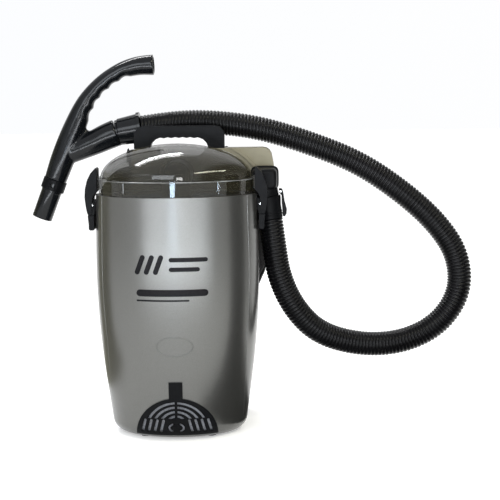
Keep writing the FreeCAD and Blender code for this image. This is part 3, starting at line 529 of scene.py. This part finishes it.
# ---- Bent end -----------------------------------------------------------------------------------
WAND_Y = 0.116
GRIP = [(-0.2065, 0.3855, 0.0180), (-0.1930, 0.4210, 0.0196), (-0.1770, 0.4610, 0.0186),
        (-0.1590, 0.5000, 0.0162), (-0.1430, 0.5240, 0.0142), (-0.1200, 0.5455, 0.0136),
        (-0.0930, 0.5615, 0.0138), (-0.0680, 0.5685, 0.0152), (-0.0420, 0.5700, 0.0167)]
BRANCH = [(-0.1030, 0.4622, 0.0220), (-0.1210, 0.4550, 0.0216), (-0.1400, 0.4465, 0.0204),
          (-0.1650, 0.4360, 0.0186), (-0.1880, 0.4260, 0.0165)]
SOCKET = Vector((-0.230, WAND_Y, 0.324))
RISE = Vector((22.0, 0.0, 57.0)).normalized()
SPIGOT = [(0.0, 0.0160), (0.0008, 0.0164), (0.0455, 0.0164), (0.0460, 0.0168), (0.0680, 0.0168)]
RING_ROOM = (0.0400, 0.0671)  # along the spigot, kept clear for the bleed ring
CUFF_FACE = 0.0036           # along the swivel's axis, just short of the cuff
ROOM_RADIUS = 0.030
SWIVEL_FOOT = Vector((-0.104, WAND_Y, 0.4620))
SWIVEL_AXIS = Vector((0.985, 0.0, 0.171)).normalized()
FINGER_START = 0.112         # along the grip, from the top of the spigot's collar
FINGER_PITCH = 0.0225
FINGER_COUNT = 5
FINGER_DEPTH = 0.0034


def smooth_stations(stations, steps):
    """Catmull-Rom points through (x, z, radius) stations."""
    padded = [stations[0]] + list(stations) + [stations[-1]]
    placed = []
    for a, b, c, d in zip(padded, padded[1:], padded[2:], padded[3:]):
        for k in range(steps):
            t = k / steps
            placed.append([0.5 * (2 * q + (r - p) * t + (2 * p - 5 * q + 4 * r - u) * t * t
                                  + (3 * q - p - 3 * r + u) * t ** 3) for p, q, r, u in zip(a, b, c, d)])
    placed.append(list(stations[-1]))
    return placed


def finger_relief(run):
    """How far the inner side of the grip sinks between two finger ridges."""
    phase = (run - FINGER_START) / FINGER_PITCH
    if phase <= 0 or phase >= FINGER_COUNT:
        return 0.0
    share = phase - math.floor(phase)
    return FINGER_DEPTH * math.sin(math.pi * share) ** 0.8


def station_skin(name, stations, fingers=False, sides=36):
    """A round tube through the stations, with finger grooves on the inner side of its bend."""
    placed = smooth_stations(stations, 12)
    points = [Vector((x, WAND_Y, z)) for x, z, radius in placed]
    rings, run = [], 0.0
    for i, (point, along) in enumerate(zip(points, tangents(points))):
        if i:
            run += (point - points[i - 1]).length
        inner = Vector((along.z, 0.0, -along.x))
        sink = finger_relief(run) if fingers else 0.0
        ring = []
        for k in range(sides):
            turn = 2 * math.pi * k / sides
            facing = max(0.0, math.cos(turn))
            radius = placed[i][2] - sink * facing ** 1.5
            ring.append(point + inner * radius * math.cos(turn) + Vector((0, radius * math.sin(turn), 0)))
        rings.append(ring)
    return loft(name, rings)


def turned(name, start, axis, profile, sides=48):
    """A turned solid: (distance, radius) steps along an axis."""
    across = axis.orthogonal().normalized()
    up = axis.cross(across)
    rings = [[start + axis * s + across * a + up * b for a, b in round_section(r, sides)] for s, r in profile]
    return loft(name, rings)


def joined(name, meshes):
    work = bmesh.new()
    for mesh in meshes:
        work.from_mesh(mesh)
    result = bpy.data.meshes.new(name)
    work.to_mesh(result)
    work.free()
    for mesh in meshes:
        bpy.data.meshes.remove(mesh)
    return result


def baked(mesh, modifiers):
    """The mesh after the given modifiers, each a name, a type and its settings."""
    holder = bpy.data.objects.new("holder", mesh)
    bpy.context.scene.collection.objects.link(holder)
    for name, kind, settings in modifiers:
        modifier = holder.modifiers.new(name, kind)
        for setting, value in settings.items():
            setattr(modifier, setting, value)
    result = bpy.data.meshes.new_from_object(holder.evaluated_get(bpy.context.evaluated_depsgraph_get()))
    bpy.data.objects.remove(holder)
    bpy.data.meshes.remove(mesh)
    return result


def without(mesh, tool_mesh):
    """The mesh with the tool's volume taken out."""
    tool = bpy.data.objects.new("tool", tool_mesh)
    bpy.context.scene.collection.objects.link(tool)
    result = baked(mesh, [("cut", "BOOLEAN", {"object": tool, "operation": "DIFFERENCE", "solver": "EXACT"})])
    bpy.data.objects.remove(tool)
    bpy.data.meshes.remove(tool_mesh)
    return result


def make_bent_end():
    """Grip, branch and web as one moulding, with a plain spigot below and a neck inside the swivel cuff."""
    grip = station_skin("grip", GRIP, fingers=True)
    branch = station_skin("branch", BRANCH)
    web = turned("web", Vector((-0.1790, WAND_Y, 0.4330)), Vector((0.60, 0.0, 0.80)).normalized(),
                 [(0.0, 0.009), (0.012, 0.0125), (0.030, 0.0110), (0.043, 0.0060)], 24)
    body = joined("bent_end_moulding", [grip, branch, web])
    body = baked(body, [("voxels", "REMESH", {"mode": "VOXEL", "voxel_size": 0.0015}),
                        ("settle", "SMOOTH", {"factor": 0.5, "iterations": 14})])
    body = without(body, turned("mouth", Vector((-0.0640, WAND_Y, 0.5690)),
                                Vector((1.0, 0.0, 0.04)).normalized(),
                                [(0.0, 0.0105), (0.004, 0.0126), (0.040, 0.0132)]))
    body = without(body, turned("ring_room", SOCKET + RISE * RING_ROOM[0], RISE,
                                [(0.0, ROOM_RADIUS), (RING_ROOM[1] - RING_ROOM[0], ROOM_RADIUS)]))
    body = without(body, turned("cuff_room", SWIVEL_FOOT + SWIVEL_AXIS * CUFF_FACE, SWIVEL_AXIS,
                                [(0.0, ROOM_RADIUS), (0.03, ROOM_RADIUS)]))
    spigot = turned("spigot", SOCKET, RISE, SPIGOT)
    spigot = without(spigot, turned("bore", SOCKET - RISE * 0.002, RISE, [(0.0, 0.0132), (0.052, 0.0130)]))
    neck = turned("neck", SWIVEL_FOOT, SWIVEL_AXIS,
                  [(0.0, 0.0200), (0.0030, 0.0200), (0.0034, 0.0178), (0.029, 0.0178)])
    piece = add_object("bent_end_moulding", joined("bent_end_moulding", [body, spigot, neck]), "bent_end",
                       MATERIALS["gloss_black"])
    piece.data.set_sharp_from_angle(angle=math.radians(38))
    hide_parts("bent_end")


# ---- Inlet elbow: a squarish moulding that turns down into the round cuff --------------------------------
ELBOW_TOP = Vector((0.1353, 0.0445, 0.393))
ELBOW_DOWN = Vector((0.131, 0.0, -0.991)).normalized()
ELBOW_BODY = [(0.0672, 0.0200, 0.0172), (0.0640, 0.0200, 0.0172), (0.0520, 0.0200, 0.0170),
              (0.0330, 0.0196, 0.0166), (0.0270, 0.0186, 0.0156), (0.0245, 0.0160, 0.0130)]


def squarish(half_x, half_z, sides=32, power=0.42):
    """Corner-rounded oblong as (x, z) offsets."""
    points = []
    for k in range(sides):
        c, s = math.cos(2 * math.pi * k / sides), math.sin(2 * math.pi * k / sides)
        points.append((math.copysign(abs(c) ** power, c) * half_x,
                       math.copysign(abs(s) ** power, s) * half_z))
    return points


def make_inlet_elbow():
    """The block on its flange; its outlet is slim enough to leave the release lever room."""
    centre = ELBOW_TOP + Vector((0.0005, 0.0, -0.0035))
    rings = [[Vector((centre.x + a, y, centre.z + b)) for a, b in squarish(half_x, half_z)]
             for y, half_x, half_z in ELBOW_BODY]
    down = turned("down", ELBOW_TOP + ELBOW_DOWN * 0.004, ELBOW_DOWN,
                  [(0.0, 0.0182), (0.0230, 0.0183), (0.0284, 0.0192)])
    body = baked(joined("elbow", [loft("block", rings), down]),
                 [("voxels", "REMESH", {"mode": "VOXEL", "voxel_size": 0.0013}),
                  ("settle", "SMOOTH", {"factor": 0.5, "iterations": 8})])
    flange = [[Vector((centre.x + a, y, centre.z + b)) for a, b in squarish(0.0222, 0.0192, 48)]
              for y in (0.0672, 0.0612)]
    piece = add_object("inlet_elbow_moulding", joined("inlet_elbow_moulding", [body, loft("flange", flange)]),
                       "machine", MATERIALS["black_plastic"])
    piece.data.set_sharp_from_angle(angle=math.radians(40))
    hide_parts("inlet_elbow")


# ---- Print on the front shell ------------------------------------------------------------------------
INK_PROUD = 0.00012


def surface_of(node):
    """A search tree over a CAD node's faces."""
    mesh = NODES[node].data
    return BVHTree.FromPolygons([v.co for v in mesh.vertices], [tuple(p.vertices) for p in mesh.polygons])


def on_front(tree, x, z):
    place, normal, _, _ = tree.ray_cast(Vector((x, -1.0, z)), Vector((0, 1, 0)))
    return place, normal if normal.y < 0 else -normal


def ink_stroke(tree, start, end, width, steps=28):
    """A round-ended stroke of ink that follows the shell."""
    a, b = Vector(start), Vector(end)
    length = (b - a).length
    along = (b - a).normalized()
    across = Vector((-along.y, along.x))
    radius = width / 2
    rings = []
    for k in range(steps + 1):
        run = length * (0.5 - 0.5 * math.cos(math.pi * k / steps))
        edge = min(run, length - run, radius)
        half = max(0.0002, math.sqrt(max(0.0, radius ** 2 - (radius - edge) ** 2)))
        low, high = a + along * run - across * half, a + along * run + across * half
        (p, n), (q, m) = on_front(tree, low.x, low.y), on_front(tree, high.x, high.y)
        rings.append([p + n * INK_PROUD, q + m * INK_PROUD, q - m * INK_PROUD, p - n * INK_PROUD])
    return loft("stroke", rings)


def make_print():
    """Plain bars where such a machine carries its printing."""
    tree = surface_of("front_shell")
    strokes = [ink_stroke(tree, (x - 0.0055, 0.258), (x + 0.0055, 0.287), 0.0075)
               for x in (-0.050, -0.036, -0.022)]
    strokes += [ink_stroke(tree, (-0.006, z), (reach, z), 0.0066)
                for z, reach in ((0.2800, 0.052), (0.2655, 0.040))]
    strokes += [ink_stroke(tree, (-0.056, 0.2300), (0.052, 0.2300), 0.0105),
                ink_stroke(tree, (-0.056, 0.2185), (0.024, 0.2185), 0.0026)]
    add_object("front_print", joined("front_print", strokes), "machine", MATERIALS["ink"],
               False)


# ---- Padded harness ------------------------------------------------------------------------------------
PAD_VOXEL = 0.0045
SWELL_FRAMES = 20
BACK_SWELL, STRAP_SWELL, WING_SWELL = 0.0045, 0.0022, 0.0014   # furthest a point may move
PAD_OUTLINE = [(0, 120), (92, 120), (102, 150), (123, 212), (139.5, 244), (139.5, 356), (122, 390), (92, 410),
               (-92, 410), (-122, 390), (-139.5, 356), (-139.5, 244), (-123, 212), (-102, 150), (-92, 120)]
PAD_FRONT = 0.1143
STRAP_LINE = [(117.4, 414), (121, 424.5), (130, 428.5), (141, 424.5), (152, 411), (165, 380), (172, 330),
              (170, 270), (158, 215), (146, 176), (141, 158)]
STRAP_SIDES = (0.038, 0.088)


def soft_start(name, node, inset):
    """A little smaller copy of a CAD solid, remeshed into even cloth."""
    work = bmesh.new()
    work.from_mesh(NODES[node].data)
    bmesh.ops.remove_doubles(work, verts=work.verts, dist=0.00002)
    bmesh.ops.recalc_face_normals(work, faces=work.faces)
    work.normal_update()
    moves = [vertex.normal * inset for vertex in work.verts]
    for vertex, move in zip(work.verts, moves):
        vertex.co -= move
    mesh = bpy.data.meshes.new(name)
    work.to_mesh(mesh)
    work.free()
    mesh = baked(mesh, [("voxels", "REMESH", {"mode": "VOXEL", "voxel_size": PAD_VOXEL}),
                        ("settle", "SMOOTH", {"factor": 0.5, "iterations": 4})])
    holder = bpy.data.objects.new(name, mesh)
    bpy.context.scene.collection.objects.link(holder)
    return holder


def swell(holders, caps):
    """Air pressure fills every pad at once, and no point may move further than its pad's cap."""
    for holder in holders:
        cloth = holder.modifiers.new("cloth", "CLOTH")
        cloth.settings.quality = 4
        cloth.settings.mass = 0.25
        cloth.settings.tension_stiffness = 12
        cloth.settings.compression_stiffness = 12
        cloth.settings.shear_stiffness = 6
        cloth.settings.bending_stiffness = 0.4
        cloth.settings.use_pressure = True
        cloth.settings.uniform_pressure_force = 4
        cloth.settings.effector_weights.gravity = 0
        cloth.point_cache.frame_end = SWELL_FRAMES
    for step in range(1, SWELL_FRAMES + 1):
        bpy.context.scene.frame_set(step)
    for holder, cap in zip(holders, caps):
        shown = holder.evaluated_get(bpy.context.evaluated_depsgraph_get()).to_mesh()
        places = [vertex.co.copy() for vertex in shown.vertices]
        holder.evaluated_get(bpy.context.evaluated_depsgraph_get()).to_mesh_clear()
        holder.modifiers.clear()
        for vertex, place in zip(holder.data.vertices, places):
            move = place - vertex.co
            vertex.co += move * (cap / (cap + move.length))
    bpy.context.scene.frame_set(1)


def finished_pad(holder, body, material, node, relief=None, limit=None):
    """One subdivision, then sewn channels as a depth at each point, then a limit off its neighbour."""
    name, mesh = holder.name, holder.data
    bpy.data.objects.remove(holder)
    mesh = baked(mesh, [("finer", "SUBSURF", {"levels": 1, "render_levels": 1})])
    if relief:
        moves = [vertex.normal * relief(vertex.co, vertex.normal) for vertex in mesh.vertices]
        for vertex, move in zip(mesh.vertices, moves):
            vertex.co -= move
    if limit:
        for vertex in mesh.vertices:
            limit(vertex)
    piece = add_object(name, mesh, body, material)
    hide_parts(node)
    return piece


def groove(distance, width, depth):
    return depth * math.exp(-(distance / width) ** 2)


def outline_distance(x, z):
    """Distance from a point to the back pad's outline."""
    corners = [Vector((a * MM, b * MM)) for a, b in PAD_OUTLINE[1:]]
    here = Vector((x, z))
    best = 1.0
    for a, b in zip(corners, corners[1:] + corners[:1]):
        share = min(1.0, max(0.0, (here - a).dot(b - a) / (b - a).length_squared))
        best = min(best, (here - a.lerp(b, share)).length)
    return best


def pad_relief(place, normal):
    """Spine channel, two cross seams that dip to the middle, and a seam along the edge."""
    if normal.y < 0.2:
        return 0.0
    sag = 0.012 * (1 - min(1.0, abs(place.x) / 0.11))
    depth = groove(place.x, 0.011, 0.0055)
    depth += groove(place.z - 0.205 + sag, 0.0035, 0.0030) + groove(place.z - 0.322 + sag, 0.0035, 0.0030)
    depth += groove(outline_distance(place.x, place.z) - 0.016, 0.0030, 0.0026)
    return min(depth, 0.0070)


def keep_off_plate(vertex):
    vertex.co.y = max(vertex.co.y, PAD_FRONT)


def strap_path(spacing):
    """The shoulder strap's middle line, in its own plane."""
    stations = smooth_stations([(y * MM, z * MM, 0.0) for y, z in STRAP_LINE], 12)
    points, _ = resample([Vector((0.0, y, z)) for y, z, _ in stations], spacing)
    return points


def shifted(points, x):
    return [Vector((x, p.y, p.z)) for p in points]


def offset_section(section, across=0.0, up=0.0):
    return [(a + across, b + up) for a, b in section]


def stitch_row(name, pairs, radius=0.00045):
    """Short threads, each from one point to the next, slightly proud in their middle."""
    threads = []
    for start, end, normal in pairs:
        middle = (start + end) / 2 + normal * radius
        threads.append(sweep("thread", [start, middle, end], round_section(radius, 6)))
    return joined(name, threads)


def pairs_along(points, normals, share=0.6):
    """Thread ends along a line: each takes a share of the way to the next point."""
    return [(a, a.lerp(b, share), n) for a, b, n in zip(points, points[1:], normals)]


def make_straps(material, tape_material):
    line = strap_path(0.004)
    side = Vector((1, 0, 0))
    outward = [-up for _, up in carried_frames(line, side)]
    for hand, sign in (("right", 1), ("left", -1)):
        edges = []
        for x in STRAP_SIDES:
            tape_edge = [(a, b * 3.9) for a, b in round_section(0.0018, 16)]
            edges.append(sweep("edge", shifted(line, sign * x), tape_edge, side))
        add_object("strap_binding_" + hand, joined("binding", edges), "machine", tape_material)
        middle = sign * (STRAP_SIDES[0] + STRAP_SIDES[1]) / 2
        section = offset_section(pill_section(TAPE_WIDTH, 0.0016), 0.0, -0.0078)
        strip = sweep("strip", shifted(line, middle), section, side)
        tape_piece = add_object("strap_tape_" + hand, strip, "machine", tape_material)
        rows = []
        for x in (middle - 0.0105, middle + 0.0105):
            raised = [p + n * 0.0088 for p, n in zip(shifted(line, x), outward)]
            rows += pairs_along(raised, outward)
        add_object("strap_stitches_" + hand, stitch_row("stitches", rows), "machine",
                   MATERIALS["thread"])


def wing_relief(place, normal):
    """A sewn line inside the edge of each flat face of a belt wing."""
    if abs(normal.y) < 0.6:
        return 0.0
    x = abs(place.x)
    depth = max(groove(place.z - z, 0.0022, 0.0016) for z in (0.0545, 0.0955))
    return max(depth, groove(x - 0.080, 0.0022, 0.0016), groove(x - 0.033, 0.0022, 0.0016))


def make_pads():
    back = soft_start("back_pad_cover", "back_pad", 0.0016)
    straps, wings = [], []
    for hand in ("right", "left"):
        straps.append((soft_start("shoulder_strap_pad_" + hand, "shoulder_strap_" + hand, 0.0010),
                       "shoulder_strap_" + hand, None))
        wings.append((soft_start("belt_wing_pad_" + hand, "waist_belt_" + hand, 0.0008), "waist_belt_" + hand,
                      wing_relief))
    swell([back] + [holder for holder, _, _ in straps + wings],
          [BACK_SWELL] + [STRAP_SWELL] * len(straps) + [WING_SWELL] * len(wings))
    finished_pad(back, "machine", MATERIALS["mesh_fabric"], "back_pad", pad_relief,
                 keep_off_plate)
    for holder, node, relief in straps + wings:
        finished_pad(holder, "machine", MATERIALS["fabric_black"], node, relief)


TAPE_WIDTH = 0.025
LOWER_TAPE = [(0.1385, 0.1600), (0.1374, 0.1410), (0.1360, 0.1250), (0.1340, 0.1100)]
TAPE_TAIL = [(0.1440, 0.1560), (0.1485, 0.1500), (0.1500, 0.1420), (0.1506, 0.1300), (0.1500, 0.1160)]


def tape_along(name, points, thickness, body, material):
    """A woven tape across X, along points in one upright plane."""
    line, length = resample(spline_points(points), 0.003)
    section = pill_section(TAPE_WIDTH, thickness)
    piece = add_object(name, sweep(name, line, section, Vector((1, 0, 0))), body, material)
    return piece, length


def make_tapes():
    """Webbing from each shoulder strap through its adjuster, its loose tail, and each belt half's tape."""
    for hand, sign in (("right", 1), ("left", -1)):
        middle = sign * (STRAP_SIDES[0] + STRAP_SIDES[1]) / 2
        lower, length = tape_along("lower_tape_" + hand, [(middle, y, z) for y, z in LOWER_TAPE], 0.0018,
                                   "machine", MATERIALS["webbing"])
        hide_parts("strap_webbing")
        tail, length = tape_along("tape_tail_" + hand, [(middle, y, z) for y, z in TAPE_TAIL], 0.0016,
                                  "machine", MATERIALS["webbing"])
        reach = [Vector((sign * x, y, 0.075))
                 for x, y in ((0.0190, 0.1435), (0.0235, 0.1465), (0.0290, 0.1504),
                              (0.0450, 0.1508), (0.0720, 0.1508))]
        line, length = resample(spline_points(reach), 0.003)
        belt = add_object("belt_tape_" + hand,
                          sweep("belt_tape", line, pill_section(TAPE_WIDTH, 0.0018), Vector((0, 0, 1))),
                          "machine", MATERIALS["webbing_level"])
        corners = [Vector((sign * x, 0.1519, z)) for x, z in ((0.048, 0.066), (0.069, 0.066), (0.069, 0.084),
                                                              (0.048, 0.084), (0.048, 0.066), (0.069, 0.084))]
        pairs = []
        for a, b in zip(corners, corners[1:]):
            points, _ = resample([a, b], 0.003)
            pairs += pairs_along(points, [Vector((0, 1, 0))] * len(points))
        add_object("belt_stitches_" + hand, stitch_row("stitches", pairs), "machine",
                   MATERIALS["thread"])


LID_HALF = 0.120
LID_RATIOS = (0.787, 0.53)
LID_BEAD_Z = 0.3945


def lid_edge(x, proud):
    """Front of the lid's oval skirt at X."""
    return -LID_RATIOS[0] * math.sqrt(max(0.0, (LID_HALF + proud) ** 2 - x * x))


def make_lid_bead():
    """The polished bead round the top of the lid's skirt, and the two upright marks below it; both take a
    pale colour that is a painted highlight.
    """
    ring = []
    for k in range(181):
        turn = math.radians(-100 + 190 + k * 340 / 180)
        x, y = math.cos(turn), math.sin(turn)
        ring.append(Vector((x * (LID_HALF + 0.0008), y * (LID_HALF + 0.0008) * LID_RATIOS[0 if y < 0 else 1],
                            LID_BEAD_Z)))
    beads = [sweep("bead", ring, round_section(0.00075, 10))]
    for x in (-0.074, 0.069):
        y = lid_edge(x, 0.0008)
        beads.append(sweep("mark", [Vector((x, y, z)) for z in (0.3775, 0.3780, 0.3925, 0.3930)],
                           round_section(0.0009, 10)))
    add_object("lid_bead", joined("lid_bead", beads), "lid", MATERIALS["edge"])


def make_piping():
    """A corded edge round the back pad."""
    corners = [Vector((a * MM * 0.985, 0.1245, 0.265 + (b * MM - 0.265) * 0.985)) for a, b in PAD_OUTLINE[1:]]
    points, _ = resample(spline_points(corners + corners[:3]), 0.004)
    ring = points[len(points) // 40:]
    tube = sweep("piping", ring, round_section(0.0026, 10))
    add_object("pad_piping", tube, "machine", MATERIALS["webbing_level"])


make_bent_end()
make_inlet_elbow()
make_print()
make_pads()
make_piping()
make_straps(MATERIALS["fabric_black"], MATERIALS["webbing"])
make_tapes()
make_lid_bead()

# ---- Frame pieces that keep their shape ------------------------------------------------------------
for part in frame["record"]["subparts"]:
    node = NODES[part["node"]]
    node.data.materials.clear()
    node.data.materials.append(MATERIALS[part["material_slot"]])


# ---- Stage ---------------------------------------------------------------------------------------------
def make_floor():
    paint = Paint("pale_floor", Base_Color=(0.88, 0.88, 0.88, 1.0), Roughness=0.8, Specular_IOR_Level=0.1,
                  Emission_Color=(1.0, 1.0, 1.0, 1.0), Emission_Strength=0.36)
    mesh = mesh_of("floor", [(-12, -12, 0), (12, -12, 0), (12, 12, 0), (-12, 12, 0)], [(0, 1, 2, 3)])
    floor = bpy.data.objects.new("floor", mesh)
    bpy.context.scene.collection.objects.link(floor)
    mesh.materials.append(paint.material)


def make_light(name, place, target, width, height, power, colour=(1.0, 1.0, 1.0)):
    light = bpy.data.lights.new(name, "AREA")
    light.shape = "RECTANGLE"
    light.size, light.size_y = width, height
    light.energy = power
    light.color = colour
    holder = bpy.data.objects.new(name, light)
    bpy.context.scene.collection.objects.link(holder)
    holder.location = place
    aim = Vector(target) - Vector(place)
    holder.rotation_euler = aim.to_track_quat("-Z", "Y").to_euler()


def make_world():
    """A white room, dim and warm to the far left and right of the machine."""
    world = bpy.data.worlds.new("studio")
    bpy.context.scene.world = world
    world.use_nodes = True
    nodes, links = world.node_tree.nodes, world.node_tree.links
    background = nodes["Background"]
    background.inputs["Strength"].default_value = 1.0
    place = nodes.new("ShaderNodeTexCoord")
    split = nodes.new("ShaderNodeSeparateXYZ")
    spread = nodes.new("ShaderNodeMapRange")
    spread.inputs["From Min"].default_value = -1.0
    ramp = nodes.new("ShaderNodeValToRGB")
    stops = [(0.02, (0.30, 0.29, 0.22)), (0.14, (0.95, 0.97, 1.0)), (0.70, (1.0, 1.0, 1.0)),
             (0.80, (0.16, 0.16, 0.15)), (0.90, (0.20, 0.20, 0.18)), (0.98, (0.62, 0.60, 0.54))]
    elements = ramp.color_ramp.elements
    while len(elements) < len(stops):
        elements.new(0.5)
    for element, (position, colour) in zip(elements, stops):
        element.position = position
        element.color = (*colour, 1.0)
    links.new(place.outputs["Generated"], split.inputs["Vector"])
    links.new(split.outputs["X"], spread.inputs["Value"])
    links.new(spread.outputs["Result"], ramp.inputs["Fac"])
    links.new(ramp.outputs["Color"], background.inputs["Color"])


def make_flag(name, turn, near, far, width, height, shade):
    """A dark card that shows only in reflections: flat on the floor from near to far, then upright."""
    out = Vector((math.sin(turn), -math.cos(turn), 0.0))
    half = Vector((math.cos(turn), math.sin(turn), 0.0)) * (width / 2)
    foot, lift = Vector((0.0, 0.0, 0.003)), Vector((0.0, 0.0, height))
    mesh = mesh_of(name, [out * near - half + foot, out * near + half + foot, out * far + half + foot,
                          out * far - half + foot, out * far + half + lift, out * far - half + lift],
                   [(0, 1, 2, 3), (3, 2, 4, 5)])
    flag = bpy.data.objects.new(name, mesh)
    bpy.context.scene.collection.objects.link(flag)
    mesh.materials.append(Paint(name, Base_Color=(*shade, 1.0), Specular_IOR_Level=0.0).material)
    flag.visible_camera = flag.visible_diffuse = flag.visible_shadow = flag.visible_transmission = False


make_floor()
make_world()
make_light("key", (-0.9, -3.2, 1.6), (0.0, 0.0, 0.35), 1.6, 1.2, 31.0, (0.88, 0.94, 1.0))
make_light("strip", (0.25, -3.0, 1.0), (0.0, 0.0, 0.40), 0.35, 0.9, 15.0)
make_light("low_panel", (0.0, -2.5, 0.004), (0.0, -2.5, 1.0), 3.6, 1.1, 215.0, (0.86, 0.90, 0.96))
make_light("overhead", (-0.7, 0.9, 2.6), (0.1, 0.1, 0.3), 1.9, 0.22, 40.0)
make_light("streak", (1.3, -0.9, 1.9), (0.0, 0.0, 0.4), 1.7, 0.14, 16.0, (1.0, 0.97, 0.78))
make_light("glint", (-0.15, -2.35, 0.20), (0.0, 0.0, 0.385), 0.22, 0.08, 1.7, (0.62, 0.80, 1.0))
make_flag("right_flag", math.radians(80.0), 0.115, 0.66, 0.34, 0.60, (0.030, 0.030, 0.027))
make_flag("left_flag", math.radians(-112.0), 0.30, 0.70, 0.55, 0.60, (0.26, 0.25, 0.19))
bpy.context.scene.view_settings.view_transform = "Standard"
